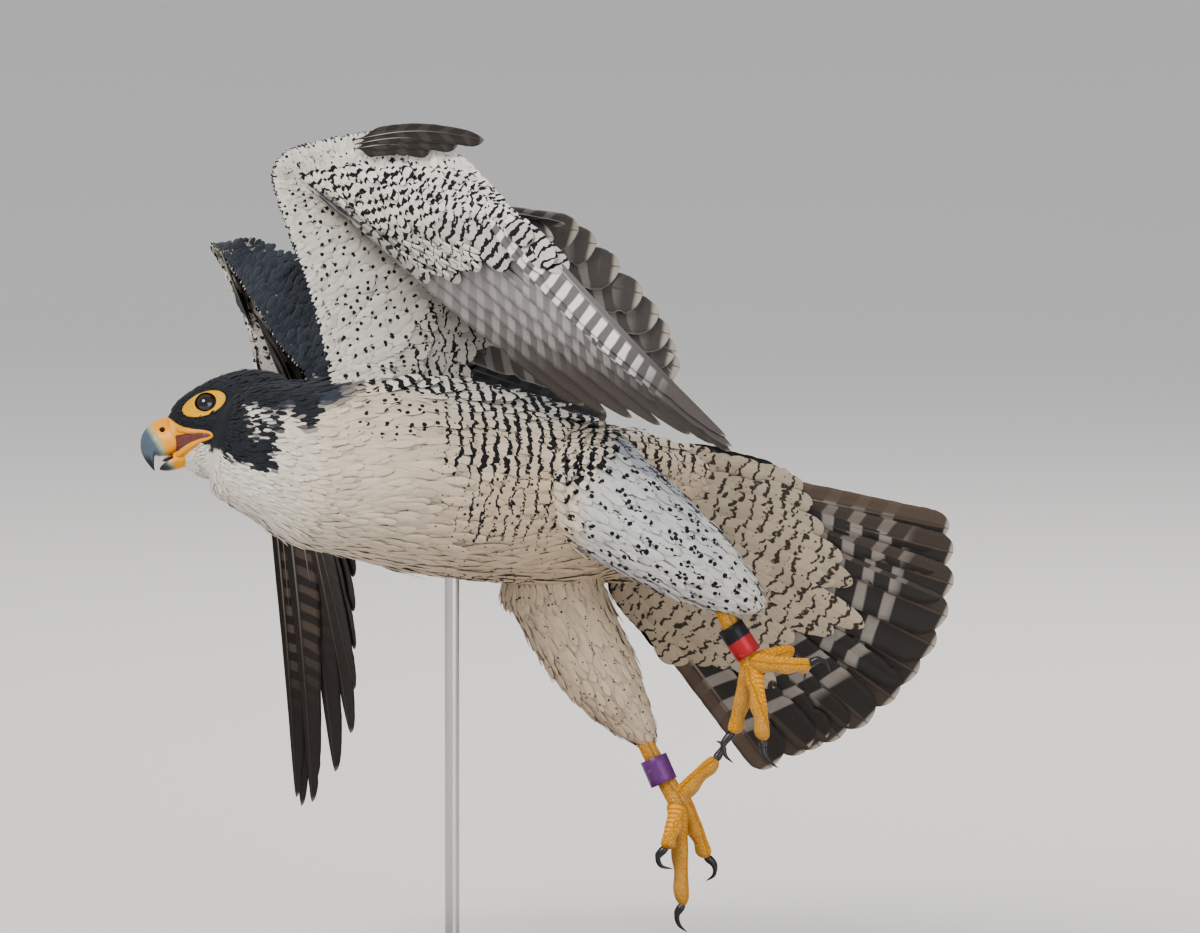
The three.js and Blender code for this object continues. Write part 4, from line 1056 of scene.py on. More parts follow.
# long barred feathers where flank meets wing
c = Coat()
n_ = 190
t = rng.uniform(0.34, 0.66, n_); a = np.radians(rng.uniform(30, 74, n_))
p = body(t, a, -1.0)
_, T_, l_, d_ = body_axes(t)
nrm = unit(p - body_at(t)[:, :3])
d = unit(-T_ + 0.30 * d_ * smooth(0.36, 0.46, t)[:, None] + 0.08 * rng.normal(0, 1, (n_, 3)))
base = np.broadcast_to(WHITE * 0.92, p.shape) * (1 + 0.05 * rng.normal(0, 1, n_))[:, None]
mark = np.stack([np.full(n_, 0.95), np.zeros(n_), np.zeros(n_)], -1)
pat = np.stack([-arc_of(t) + 400 + 0.4 * rng.normal(0, 1, n_), a * body_at(t)[:, 3] * 0.9, rng.random(n_)], -1)
uv = np.stack([0.02 + a / (2 * math.pi) * 0.46, 0.02 + t * 0.46], -1)
c.add(p, d, nrm, rng.uniform(20, 27, n_), np.full(n_, 8.5), base, mark, pat, uv, lift=0.05, bend=0.05, cup=0.10, fat=0.04, fine=True)
coats.append(("coat_axillary", c))

wg = wings["left"]
S_, C_ = np.meshgrid(np.linspace(0.56, 0.99, 120), np.linspace(0.02, 0.6, 90), indexing="ij")
G_ = wg.at(S_, C_).reshape(-1, 3)
gu, gv = 600 + G_[:, 0] / PLAN, 466.5 - G_[:, 2] / PLAN
n_ = 46
f_ = rng.random(n_)
tu, tvv = 402 + 62 * f_ + rng.normal(0, 3, n_), 243 + 9 * np.sin(f_ * 3) + rng.normal(0, 6, n_)
near_ = [int(np.argmin((gu - x_) ** 2 + (gv - y_) ** 2)) for x_, y_ in zip(tu, tvv)]
s, c0 = S_.reshape(-1)[near_], C_.reshape(-1)[near_]
nrm = wg.normal(s, c0)
p = wg.at(s, c0) + nrm * 1.2
ch = unit(wg.at(s, c0 + 0.01) - wg.at(s, c0 - 0.01)); al_ = unit(wg.at(np.clip(s + .01, 0, 1), c0) - wg.at(s - .01, c0))
d = unit(ch * 0.55 + al_ * (0.9 - 0.5 * f_)[:, None] + nrm * 0.28 + 0.12 * rng.normal(0, 1, (n_, 3)))
c = Coat()
base = np.broadcast_to(WHITE, p.shape) * (1 + 0.05 * rng.normal(0, 1, n_))[:, None]
mark = np.stack([np.full(n_, 0.35), np.zeros(n_), np.zeros(n_)], -1)
pat = np.stack([c0 * 200, s * 350, rng.random(n_)], -1)
uv = np.stack([0.02 + s * 0.22, 0.52 + c0 * 0.5], -1)
c.add(p, d, nrm, rng.uniform(13, 21, n_), rng.uniform(2.6, 4.2, n_), base, mark, pat, uv, lift=0.16, bend=0.30, cup=0.12, fat=0.06, fine=True)
coats.append(("coat_hand_tuft", c))

# tail coverts, both faces
tail_n = unit(np.cross(TAIL_TIPS(np.array([.5]))[0] - TAIL_ROOTS(np.array([.5]))[0], TAIL_TIPS(np.array([.8]))[0] - TAIL_TIPS(np.array([.2]))[0]))
tail_under = tail_n if tail_n[1] < 0 else -tail_n
for face_name, fs in (("under", 1.0), ("upper", -1.0)):
    c = Coat()
    for i, v0 in enumerate(np.linspace(-0.02, 0.30 if fs > 0 else 0.20, 12)):
        n = int(11 + 2 * (i % 2))
        s = np.clip((np.arange(n) + 0.5) / n + rng.normal(0, .012, n), 0.03, 0.97)
        A, B = TAIL_ROOTS(s), TAIL_TIPS(s)
        d = unit(B - A)
        flesh = 24 * np.exp(-(v0 / 0.34) ** 2) * (0.35 + 0.65 * np.sin(math.pi * s)) / 2
        p = A + (B - A) * v0 + tail_under * fs * (flesh * 0.82 + 0.6)[:, None]
        nrm = np.broadcast_to(tail_under * fs, p.shape)
        mid = np.sin(math.pi * s)
        Lf = (22 + 46 * (i / 11) * mid) if fs > 0 else (18 + 26 * (i / 11) * mid)
        Lf = Lf * (1 + 0.06 * rng.normal(0, 1, n))
        if fs > 0:
            Lf = Lf * (0.72 + 0.48 * np.exp(-((s - 0.40) / 0.13) ** 2) + 0.36 * np.exp(-((s - 0.72) / 0.09) ** 2))
        Wd = 13 + 4 * mid
        if fs > 0:
            base = np.broadcast_to(np.array([0.42, 0.36, 0.28]), p.shape) * 1.0
            mark = np.stack([np.full(n, 0.42), np.full(n, 0.25), np.zeros(n)], -1)
        else:
            base = lerp3(np.broadcast_to(SLATE, p.shape), np.broadcast_to(SLATE_PALE, p.shape), np.full(n, 0.85))
            mark = np.stack([np.full(n, 0.4), np.zeros(n), np.full(n, 0.3)], -1)
        base = base * (1 + 0.05 * rng.normal(0, 1, n))[:, None]
        pat = np.stack([v0 * 180 * 0.72 + s * 4 + 1.2 * rng.normal(0, 1, n), s * 90, rng.random(n)], -1)
        uv = np.stack([0.52 + s * 0.2 + (0 if fs > 0 else 0.24), np.full(n, 0.52 + (v0 + 0.05) * 0.5)], -1)
        slope = (0.085 - 0.055 * i / 11) * np.ones(n)
        c.add(p, unit(d - tail_under * fs * slope[:, None]), nrm, Lf, Wd, base, mark, pat, uv, lift=0.0, bend=0.02, cup=0.08, fat=0.04, fine=True, jag=0.03, brown=0.5, pscale=0.72)
    coats.append(("coat_tail_" + face_name, c))

coat_objs = []
for name, c in coats:
    coat_objs.append(c.make(name, contour))

# skin takes the markings of the nearest feather root
allr = np.concatenate([np.concatenate(c.roots) for _, c in coats])
allb = np.concatenate([np.concatenate(c.rbase) for _, c in coats])
allm = np.concatenate([np.concatenate(c.rmark) for _, c in coats])
allp = np.concatenate([np.concatenate(c.rpat) for _, c in coats])
kd = KDTree(len(allr))
wr = W(allr)
for i, q in enumerate(wr):
    kd.insert(q, i)
kd.balance()
sk = np.zeros(len(skin.data.vertices) * 3, np.float32); skin.data.vertices.foreach_get("co", sk); sk = sk.reshape(-1, 3)
idx = np.array([kd.find(q)[1] for q in sk])
attr(skin.data, "base", "FLOAT_COLOR", np.concatenate([allb[idx] * 0.9, np.ones((len(idx), 1))], 1))
attr(skin.data, "mark", "FLOAT_COLOR", np.concatenate([allm[idx] * [1.0, 1.0, 0], np.ones((len(idx), 1))], 1))
attr(skin.data, "pat", "FLOAT_VECTOR", allp[idx])
skin.data.materials.clear(); skin.data.materials.append(skin_mat)

# ================================================================= flight feathers
class Vanes:
    def __init__(self):
        self.V, self.Q, self.loc, self.pat, self.uv, self.n = [], [], [], [], [], 0

    def feather(self, root, tip, nrm, outer, wo, wi, order, uv0, camber=0.02, bow=0.0, tilt=0.09, pointed=0.0, quill=0.06, round_at=0.86, swept=0.35):
        """nrm points out of the under side; outer is the direction of the narrow outer web"""
        R = 44
        wsec = np.array([-1, -.72, -.42, -.12, -.045, 0, .045, .12, .34, .56, .78, 1.0])
        K = len(wsec)
        v = 1 - (1 - np.linspace(0, 1, R)) ** 1.5
        L = np.linalg.norm(tip - root)
        ax = (tip - root) / L
        nrm = unit(nrm - ax * (nrm @ ax)); side = np.cross(nrm, ax)
        if side @ outer < 0:
            side = -side
        rise = smooth(quill * 0.6, quill + 0.16, v)
        tipshape = np.sqrt(np.clip(1 - ((v - round_at) / (1 - round_at)).clip(0, 1) ** 2, 0, 1))
        taper = 1 - pointed * smooth(0.45, 1.0, v)
        prof_o = (0.05 + 0.95 * rise) * tipshape * taper + 0.02
        prof_i = (0.05 + 0.95 * rise) * tipshape * taper + 0.02
        for _ in range(3):                       # parted barbs
            c0 = rng.uniform(0.3, 0.95); dd = np.exp(-((v - c0) / 0.012) ** 2) * rng.uniform(0.05, 0.22)
            prof_i = prof_i * (1 - dd)
        prof_i = prof_i * (1 + 0.015 * rng.normal(0, 1, R)); prof_o = prof_o * (1 + 0.015 * rng.normal(0, 1, R))
        across = np.where(wsec < 0, wsec * -wo, -wsec * wi)      # + towards the outer edge
        pos = root + ax * (v * L)[:, None] + side * (bow * L * np.sin(math.pi * v) * -1)[:, None] - nrm * (camber * L * 4 * v * (1 - v) - camber * L * 0)[:, None] * 0.5
        lat = np.where(wsec[None] < 0, across[None] * prof_o[:, None], across[None] * prof_i[:, None])
        # swept barbs give a rounded, slightly swept end
        sweep = -np.abs(lat) * swept * smooth(0.86, 1.0, v)[:, None]
        zt = -tilt * lat - 0.10 * (lat ** 2) / max(wi, 1.0)      # outer web up, inner web down
        zt = -zt * 1.0
        mid = pos[:, None] + side * lat[..., None] + ax * sweep[..., None] + (-nrm) * (tilt * lat)[..., None] * 1.0 + (-nrm) * (-0.018 * (lat ** 2))[..., None] * 0.4
        rach = np.exp(-(wsec / 0.05) ** 2)[None] * (1.05 * (1 - 0.8 * v))[:, None]
        half = 0.16 + 0.75 * rach
        top = mid - nrm * half[..., None]            # upper side
        bot = mid + nrm * half[..., None]
        vv = np.concatenate([bot.reshape(-1, 3), top.reshape(-1, 3)])
        o = R * K
        g = grid_faces(R, K, False)
        idx = np.arange(o).reshape(R, K)
        loop = np.concatenate([idx[0, :], idx[1:, -1], idx[-1, -2::-1], idx[-2:0:-1, 0]]); l2 = np.roll(loop, -1)
        q = np.concatenate([g, g[:, ::-1] + o, np.stack([loop, l2, l2 + o, loop + o], 1)[:, ::-1]])
        # faces point out whichever way the frame is handed
        c0 = vv[g[:, 0]]; nn = np.cross(vv[g[:, 1]] - c0, vv[g[:, 3]] - c0).sum(0)
        if nn @ nrm < 0:
            q = q[:, ::-1]
        rnd = rng.random()
        lc = np.zeros((2, R, K, 3)); lc[..., 0] = v[None, :, None]; lc[..., 1] = wsec[None, None]; lc[..., 2] = rnd
        pt = np.zeros((2, R, K, 3)); pt[..., 0] = (v * L)[None, :, None] + rnd * 3; pt[1, ..., 1] = 1.0; pt[..., 2] = order + rnd
        uvv = np.zeros((2, R, K, 2)); uvv[..., 0] = uv0[0] + 0.010 * (wsec[None, None] + 1); uvv[..., 1] = uv0[1] + 0.20 * v[None, :, None]; uvv[1, ..., 1] += 0.24
        self.V.append(vv); self.Q.append(q + self.n); self.loc.append(lc.reshape(-1, 3)); self.pat.append(pt.reshape(-1, 3)); self.uv.append(uvv.reshape(-1, 2))
        self.n += 2 * o

    def make(self, name, mat):
        Q = np.concatenate(self.Q)
        me = build(name, W(np.concatenate(self.V)), Q)
        attr(me, "loc", "FLOAT_VECTOR", np.concatenate(self.loc)); attr(me, "pat", "FLOAT_VECTOR", np.concatenate(self.pat))
        lay = me.uv_layers.new(name="OFBake")
        lay.data.foreach_set("uv", np.concatenate(self.uv)[Q.ravel()].astype(np.float32).ravel())
        me.materials.append(mat)
        return link(me, name)


prim_mat = flight_material("primary_vane", "primary")
sec_mat = flight_material("secondary_vane", "secondary")
tail_mat = flight_material("tail_vane", "tail")
# painted shade: the far wing's vanes use darkened copies of the vane materials, for the shadow that wing lies in
prim_mat_painted_shade = flight_material("primary_vane_shaded", "primary", True)
sec_mat_painted_shade = flight_material("secondary_vane_shaded", "secondary", True)
thumb_mat = flight_material("thumb_vane", "secondary", "thumb")
made = {}
for side, wg in wings.items():
    prim, sec = Vanes(), Vanes()
    for k in range(10):                          # P1 at the wrist .. P10 outermost
        s = SPLIT + 0.03 + (1 - SPLIT - 0.03) * (k + 0.3) / 9.3
        s = min(s, 0.998)
        sa = np.array([s])
        B, T = wg.B(sa)[0], wg.T(sa)[0]
        out = wg.at(np.clip(sa + .03, 0, 1), np.array([.5]))[0] - wg.at(sa - .03, np.array([.5]))[0]
        nrm = wg.normal(np.clip(sa, 0, .985), np.array([.6]))[0]
        L = np.linalg.norm(T - B)
        wi = 15.5 - 0.35 * k; wo = 6.2 - 0.38 * k
        prim.feather(B - (T - B) / L * (4.0 if side == "left" else -5.0), T, nrm, out, wo, wi, k, (0.02 + 0.024 * k, 0.02), camber=0.016, bow=0.012, tilt=0.11, pointed=0.30 + 0.035 * k)
    for k in range(15):                          # secondaries, then tertials to the body
        s = SPLIT - 0.01 - (SPLIT - 0.06) * (k + 0.2) / 14.5
        sa = np.array([s])
        B, T = wg.B(sa)[0], wg.T(sa)[0]
        out = wg.at(sa + .03, np.array([.5]))[0] - wg.at(np.clip(sa - .03, 0, 1), np.array([.5]))[0]
        nrm = wg.normal(sa, np.array([.6]))[0]
        L = np.linalg.norm(T - B)
        sec.feather(B - (T - B) / L * (4.0 if side == "left" else -4.0), T, nrm, out, 9.0, 15.0, k, (0.30 + 0.024 * k, 0.02), camber=0.03, bow=0.004, tilt=0.10, pointed=0.04, round_at=0.91, swept=0.1)
    made[side] = (prim.make("primaries_" + side, prim_mat if side == "left" else prim_mat_painted_shade), sec.make("secondaries_" + side, sec_mat if side == "left" else sec_mat_painted_shade))

tv = Vanes()
for k in range(12):
    s = (k + 0.5) / 12
    sa = np.array([s])
    A, T = TAIL_ROOTS(0.12 + 0.76 * sa)[0], TAIL_TIPS(sa)[0]
    fromc = abs(s - 0.5) * 2
    A = A + tail_under * (-3.0 + 5.0 * fromc)
    T = T + tail_under * (-1.5 + 3.0 * fromc)
    out = (TAIL_TIPS(np.clip(sa - .05, 0, 1)) - TAIL_TIPS(np.clip(sa + .05, 0, 1)))[0] * (1 if s < 0.5 else -1)
    wo = 12.0 - 3.5 * fromc
    # on the fan's edges the outer web is the leading one; it lies under its inner neighbour
    tv.feather(A, T, tail_under, out, wo, 15.0, k, (0.02 + 0.028 * k, 0.5), camber=0.006, bow=0.0, tilt=0.05, pointed=0.0, quill=0.03, round_at=0.925, swept=0.06)
tail_obj = tv.make("tail_feathers", tail_mat)

# alulas: three stiff blades on each thumb
ALULA = {"left": [[352, 134, -68], [404, 126, -80], [444, 126, -88], [484, 138, -96]],
         "right": [[216, 250, 32], [222, 272, 40], [232, 300, 50], [244, 330, 62]]}
alula_objs = {}
for side, wg in wings.items():
    al = Vanes()
    pts = PP(ALULA[side])
    nrm = wg.normal(np.array([.72]), np.array([.2]))[0]
    across = np.array([0, 0.3, -1.0]) if side == "left" else np.array([1.0, 0.35, 0.15])
    for k in range(3):
        f = 1 - 0.2 * k
        tipp = pts[0] + (pts[3] - pts[0]) * f + across * ((1 if side == "left" else 4.5) + 3.2 * k)
        root = pts[0] + across * (3 + 2.5 * k) + (pts[3] - pts[0]) * 0.02
        al.feather(root, tipp, nrm, -across, 4.2, 6.2, k, (0.7 + 0.024 * k, 0.02), camber=-0.02, bow=-0.07, tilt=0.05, pointed=0.15)
    alula_objs[side] = al.make("alula_" + side, thumb_mat)

# ================================================================= head: eyes, lids, bill
def simple(name, verts, quads, tris, mat, level=0):
    me = outward(build(name, W(verts), quads, tris))
    me.shade_smooth()
    me.materials.append(mat)
    o = link(me, name)
    if level:
        m = o.modifiers.new("s", "SUBSURF"); m.levels = m.render_levels = level
    return o


# eye material: pupil and iris by distance from the gaze axis
n = N("eye")
g = n.attr("gaze", "Fac")
nz = n.noise(n.object_co(), 900, 2.0)
iris = n.mix(nz, (0.010, 0.005, 0.003, 1), (0.026, 0.012, 0.007, 1))
col = n.mix(n.ramp(n.m2("ADD", g, n.m2("MULTIPLY", nz, 0.02)), 0.40, 0.44), (0.002, 0.002, 0.003, 1), iris)
eye_mat = n.done(col, 0.04, 0.6, Coat_Weight=1.0, Coat_Roughness=0.02, IOR=1.4)

n = N("orbital_skin")
co = n.object_co()
vor = n.node("ShaderNodeTexVoronoi"); vor.inputs["Scale"].default_value = 1500; n.put(vor.inputs["Vector"], co)
nz = n.noise(co, 500, 3.0)
yell = n.mix(nz, (0.66, 0.31, 0.008, 1), (0.82, 0.45, 0.02, 1))
edge = n.attr("gaze", "Fac")
yell = n.mix(n.m2("SUBTRACT", 1.0, n.ramp(edge, 0.02, 0.14)), yell, (0.02, 0.012, 0.01, 1))
n.bump(vor.outputs["Distance"], 0.5, 0.0003)
ring_mat = n.done(yell, n.m2("MULTIPLY_ADD", nz, 0.2, 0.38), 0.45, Subsurface_Weight=0.12)
ring_mat.node_tree.nodes["Principled BSDF"].inputs["Subsurface Radius"].default_value = (0.0012, 0.0006, 0.0002)

eye_objs = {}
for side, sg in (("left", 1), ("right", -1)):
    c = H(-1.9, sg * (EYE_OUT - EYE_IN), 0.7)
    nt, na = 28, 48
    th = np.linspace(0, math.pi, nt + 2)[1:-1]
    ph = np.arange(na) / na * 2 * math.pi
    TH, PH = np.meshgrid(th, ph, indexing="ij")
    axis = unit(HL * sg + HF * 0.10)
    e1 = unit(HF - axis * (HF @ axis)); e2 = np.cross(axis, e1)
    bulge = 1 + 0.05 * np.exp(-(TH / 0.5) ** 2)
    pts = c + (axis * np.cos(TH)[..., None] + (e1 * np.cos(PH)[..., None] + e2 * np.sin(PH)[..., None]) * np.sin(TH)[..., None]) * (EYE_R * bulge)[..., None]
    v = pts.reshape(-1, 3); q = grid_faces(nt, na, True); k = np.arange(na); k2 = (k + 1) % na
    v = np.concatenate([v, [c + axis * EYE_R * 1.05, c - axis * EYE_R]])
    tri = np.concatenate([np.stack([np.full(na, nt * na), k2, k], 1), np.stack([np.full(na, nt * na + 1), (nt - 1) * na + k, (nt - 1) * na + k2], 1)])
    me = build("eye_ball_" + side, W(v), q, tri)
    gz = np.concatenate([np.sin(TH).reshape(-1) + (TH.reshape(-1) > math.pi / 2) * 1.0, [0, 2]])
    attr(me, "gaze", "FLOAT", gz)
    import bmesh
    bm = bmesh.new(); bm.from_mesh(me); bmesh.ops.recalc_face_normals(bm, faces=bm.faces); bm.to_mesh(me); bm.free()
    me.shade_smooth(); me.materials.append(eye_mat)
    ball = link(me, "eye_ball_" + side)
    # lids: a rolled ring from the ball out to the feathered face
    nr, na = 16, 72
    f = np.linspace(0, 1, nr); ph = np.arange(na) / na * 2 * math.pi
    F, PH = np.meshgrid(f, ph, indexing="ij")
    tilt = -0.10
    ex, ez = np.cos(PH), np.sin(PH)
    rin = 5.35
    ox = 12.0 * ex; oz = 7.7 * ez
    corner = np.exp(-((ex - 1) / 0.25) ** 2) * 1.2          # drawn-out front corner
    px = (rin * ex * (1 + 0.06 * corner) - 0.9) * (1 - F) + (ox + corner * 0.6) * F
    pz = rin * ez * (1 - F) + oz * F
    X = px * math.cos(tilt) + pz * math.sin(tilt) - 1.4
    Z = pz * math.cos(tilt) - px * math.sin(tilt) + 0.5
    rr = np.hypot(px, pz)
    ballz = np.sqrt(np.clip((EYE_R + 0.25) ** 2 - rin ** 2, 0, None))
    roll = 0.9 * np.sin(np.clip(F * 3.0, 0, 1) * math.pi) + 0.35 * np.sin(np.clip(F * 1.3, 0, 1) * math.pi)
    wrk = 0.10 * np.sin(PH * 26 + F * 5) * np.sin(F * math.pi)
    lat0 = (EYE_OUT - EYE_IN) + ballz
    # height of the face under the ring
    pth = H(X + 0.4, sg * 60.0, Z + 0.3)
    lat = np.zeros(F.shape)
    org = W(pth).reshape(-1, 3)
    dr = Vector(W(HO - sg * HL * 1000) - W(HO)).normalized()
    hits = []
    for o_ in org:
        h = bvh.ray_cast(Vector(o_), dr)
        hits.append(60.0 - h[3] * 1000 if h[0] is not None else 10.0)
    surf = np.array(hits).reshape(F.shape)
    lat = lat0 * (1 - F) + (surf + 0.7) * F + (roll + wrk) * (1 - 0.75 * F)
    lat = np.maximum(lat, surf + 0.35)
    p3 = HO + HF * (X + 0.4)[..., None] + HL * (sg * lat)[..., None] + HU * (Z + 0.3)[..., None]
    inner = HO + HF * (X + 0.4)[..., None] + HL * (sg * (lat - 1.1))[..., None] + HU * (Z + 0.3)[..., None]
    v = np.concatenate([p3.reshape(-1, 3), inner.reshape(-1, 3)])
    g = grid_faces(nr, na, True); o2 = nr * na
    k = np.arange(na); k2 = (k + 1) % na
    e0 = np.stack([k, k2, k2 + o2, k + o2], 1); e1_ = np.stack([(nr - 1) * na + k2, (nr - 1) * na + k, (nr - 1) * na + k + o2, (nr - 1) * na + k2 + o2], 1)
    me = build("eyelids_" + side, W(v), np.concatenate([g, g[:, ::-1] + o2, e0, e1_]))
    attr(me, "gaze", "FLOAT", np.tile(F.reshape(-1), 2))
    bm = bmesh.new(); bm.from_mesh(me); bmesh.ops.recalc_face_normals(bm, faces=bm.faces); bm.to_mesh(me); bm.free()
    me.shade_smooth(); me.materials.append(ring_mat)
    eye_objs[side] = (ball, link(me, "eyelids_" + side))

# bill
n = N("bill_horn")
bx = n.xyz(n.attr("hx"))                 # head-frame x, lateral, z in mm
nz = n.noise(n.attr("hx"), 0.8, 3.0)
xx = n.m2("ADD", bx[0], n.m2("MULTIPLY_ADD", nz, 1.6, -0.8))
front = n.m2("SUBTRACT", xx, n.m2("MULTIPLY", n.m2("ADD", bx[2], 6.0), 0.15))
cere = (0.80, 0.34, 0.03, 1)
col = n.mix(n.ramp(front, 28.2, 29.0), cere, (0.40, 0.40, 0.24, 1))
col = n.mix(n.ramp(front, 29.5, 33.0), col, (0.085, 0.115, 0.15, 1))
tipd = n.m2("SUBTRACT", n.m2("MULTIPLY", xx, 0.55), n.m2("MULTIPLY", bx[2], 0.55))
col = n.mix(n.ramp(tipd, 26.0, 30.0), col, (0.010, 0.011, 0.013, 1))
n.bump(n.noise(n.attr("hx"), 2.5, 4.0), 0.15, 0.0004)
bill_mat = n.done(col, n.m2("MULTIPLY_ADD", n.m2("SUBTRACT", 1.0, n.ramp(front, 28.2, 29.0)), 0.18, 0.22), 0.5)
n = N("gape_skin")
nz = n.noise(n.object_co(), 420, 3.0)
gape_mat = n.done(n.mix(nz, (0.72, 0.28, 0.022, 1), (0.84, 0.38, 0.04, 1)), 0.42, 0.45)
n.bump(nz, 0.3, 0.0004)
n = N("mouth")
nz = n.noise(n.object_co(), 500, 2.0)
mouth_mat = n.done(n.mix(nz, (0.09, 0.025, 0.024, 1), (0.20, 0.075, 0.068, 1)), 0.3, 0.5)


def headmesh(name, fn, nt, na, mat, t0=0.004, t1=0.996, warp=None):
    v, q, tr = closed_loft(name, fn, nt, na, t0, t1)
    if warp is not None:
        v = warp(v)
    me = build(name, W(v), q, tr)
    x, l, z = headc(v)
    attr(me, "hx", "FLOAT_VECTOR", np.stack([x, l, z], -1))
    bm = bmesh.new(); bm.from_mesh(me); bmesh.ops.recalc_face_normals(bm, faces=bm.faces); bm.to_mesh(me); bm.free()
    me.shade_smooth(); me.materials.append(mat)
    return link(me, name)


def nostril(v):
    """sinks a round nostril in each side of the cere, swells the cere, notches the cutting edge"""
    x, l, z = headc(v)
    f = v.copy()
    d = np.hypot(x - 25.2, z + 2.2)
    sink = -2.2 * smooth(1.75, 1.15, d) + 0.45 * np.exp(-((d - 2.2) / 0.6) ** 2)
    ring = 0.35 * np.exp(-((x - 28.3 - (z + 6) * 0.15) / 0.8) ** 2)
    tooth = 0.0
    f = f + HL * (np.sign(l) * (sink + ring) * (np.abs(l) > 2.0))[:, None]
    notch = 0.9 * np.exp(-((x - 33.6) / 0.9) ** 2) * smooth(-11.5, -13.5, z)
    return f + HU * notch[:, None]


bill_up = headmesh("bill_upper_horn", blade(BILL_TOP, 0.3), 120, 96, bill_mat, warp=nostril)
bill_dn = headmesh("bill_lower_horn", blade(BILL_LOW, -0.15), 60, 48, bill_mat)
tongue_rows = [[16, -16.9, 16, -19.0, 0], [17, -16.6, 17, -19.2, 4.0], [24, -16.3, 24, -18.4, 3.6], [29, -16.4, 29, -18.1, 2.4], [31, -17, 31, -17.6, 0]]
tongue = headmesh("tongue", blade(tongue_rows, 0.1), 26, 24, mouth_mat)
pit = []
for sg in (1, -1):
    cc = H(25.2, sg * 5.6, -2.2)
    th = np.linspace(0.02, math.pi - .02, 12); ph = np.arange(20) / 20 * 2 * math.pi
    TH, PH = np.meshgrid(th, ph, indexing="ij")
    v = cc + (HF * (np.cos(PH) * np.sin(TH))[..., None] + HU * (np.sin(PH) * np.sin(TH))[..., None]) * 1.35 + HL * (np.cos(TH) * 0.75)[..., None]
    pit.append(v.reshape(-1, 3))
# painted shade: the pits in the cere are lined with a near-black surface for the shade inside the nostril openings
n = N("nostril_dark")
n.bump(n.noise(n.object_co(), 800, 2.0), 0.2, 0.0002)
dark_mat = n.done(n.mix(n.noise(n.object_co(), 300), (0.01, 0.006, 0.004, 1), (0.03, 0.015, 0.01, 1)), 0.6, 0.2)
q = grid_faces(12, 20, True)
simple("nostrils", np.concatenate(pit), np.concatenate([q, q + 240]), None, dark_mat)


def tube(points, radius, nt=40, na=16, flat=1.0, upv=None):
    pts = np.asarray(points, float)
    at = table(pts)
    upv = np.array([0.1, 0.2, 1.0]) if upv is None else upv

    def f(t, a):
        c = at(t); T = unit(at(np.clip(t + .01, 0, 1)) - at(np.clip(t - .01, 0, 1)))
        n1 = unit(np.cross(T, upv)); n2 = unit(np.cross(n1, T))
        r = radius(t, a)
        return c + n1 * (r * np.cos(a))[..., None] * flat + n2 * (r * np.sin(a))[..., None]
    return closed_loft("x", f, nt, na, 0.0, 1.0)


def joined(list_):
    V, Q, Tt, o = [], [], [], 0
    for v, q, t in list_:
        V.append(v); Q.append(q + o); Tt.append(t + o); o += len(v)
    return np.concatenate(V), np.concatenate(Q), np.concatenate(Tt)




def side_point(u, v, sg, out, guess=11.0, floor_l=0.0):
    """a point on the side of the face under plan point u, v, and out mm beyond it"""
    l = guess
    for _ in range(3):
        x, z = side_xz(u, v, l)
        h = bvh.ray_cast(Vector(W(H(x, sg * 60.0, z)).reshape(3)), Vector((W(HO - sg * HL * 1000) - W(HO)).reshape(3)).normalized())
        l = max(60.0 - h[3] * 1000 if h[0] is not None else 0.0, floor_l)
    return H(x, sg * (l + out), z)


def ropes(rows, sg):
    """rows: plan u, v, radius, least distance from the middle"""
    pts = np.array([side_point(r[0], r[1], sg, r[2] * 0.35, floor_l=r[3]) for r in rows])
    rr = table([[r[2]] for r in rows])
    return tube(pts, lambda t, a: rr(t)[..., 0] * np.sin(np.clip(0.06 + 0.88 * t, 0, 1) * math.pi) ** 0.3, 40, 16)


UPLIP = [(178, 430, 1.9, 6.6), (186, 430.8, 1.9, 7.4), (193, 431.6, 1.45, 0), (203, 431.8, 1.0, 0), (210, 433.4, 1.05, 0), (213.2, 436.2, 1.0, 0)]
LOWLIP = [(213.2, 436.4, 1.0, 0), (208, 439, 1.05, 0), (202, 440.6, 1.1, 0), (193, 444.8, 1.6, 0), (185, 450, 2.0, 6.0), (177, 456, 1.9, 5.8)]
gp = []
mouth = []
for sg in (1, -1):
    gp.append(ropes(UPLIP, sg)); gp.append(ropes(LOWLIP, sg))
    a0 = [(176, 436.0), (185, 434.5), (194, 433.4), (203, 432.6), (211, 435.4)]
    b0 = [(176, 451.0), (185, 446.0), (194, 441.6), (203, 438.8), (211, 436.8)]
    g_ = [[side_point(ua + (ub - ua) * f, va + (vb - va) * f, sg, 0.8, floor_l=5.2 if ua < 180 else 6.0 if ua < 188 else 0) for f in np.linspace(0, 1, 5)] for (ua, va), (ub, vb) in zip(a0, b0)]
    mouth.append(np.array(g_).reshape(-1, 3))
v, q, tr = joined(gp)


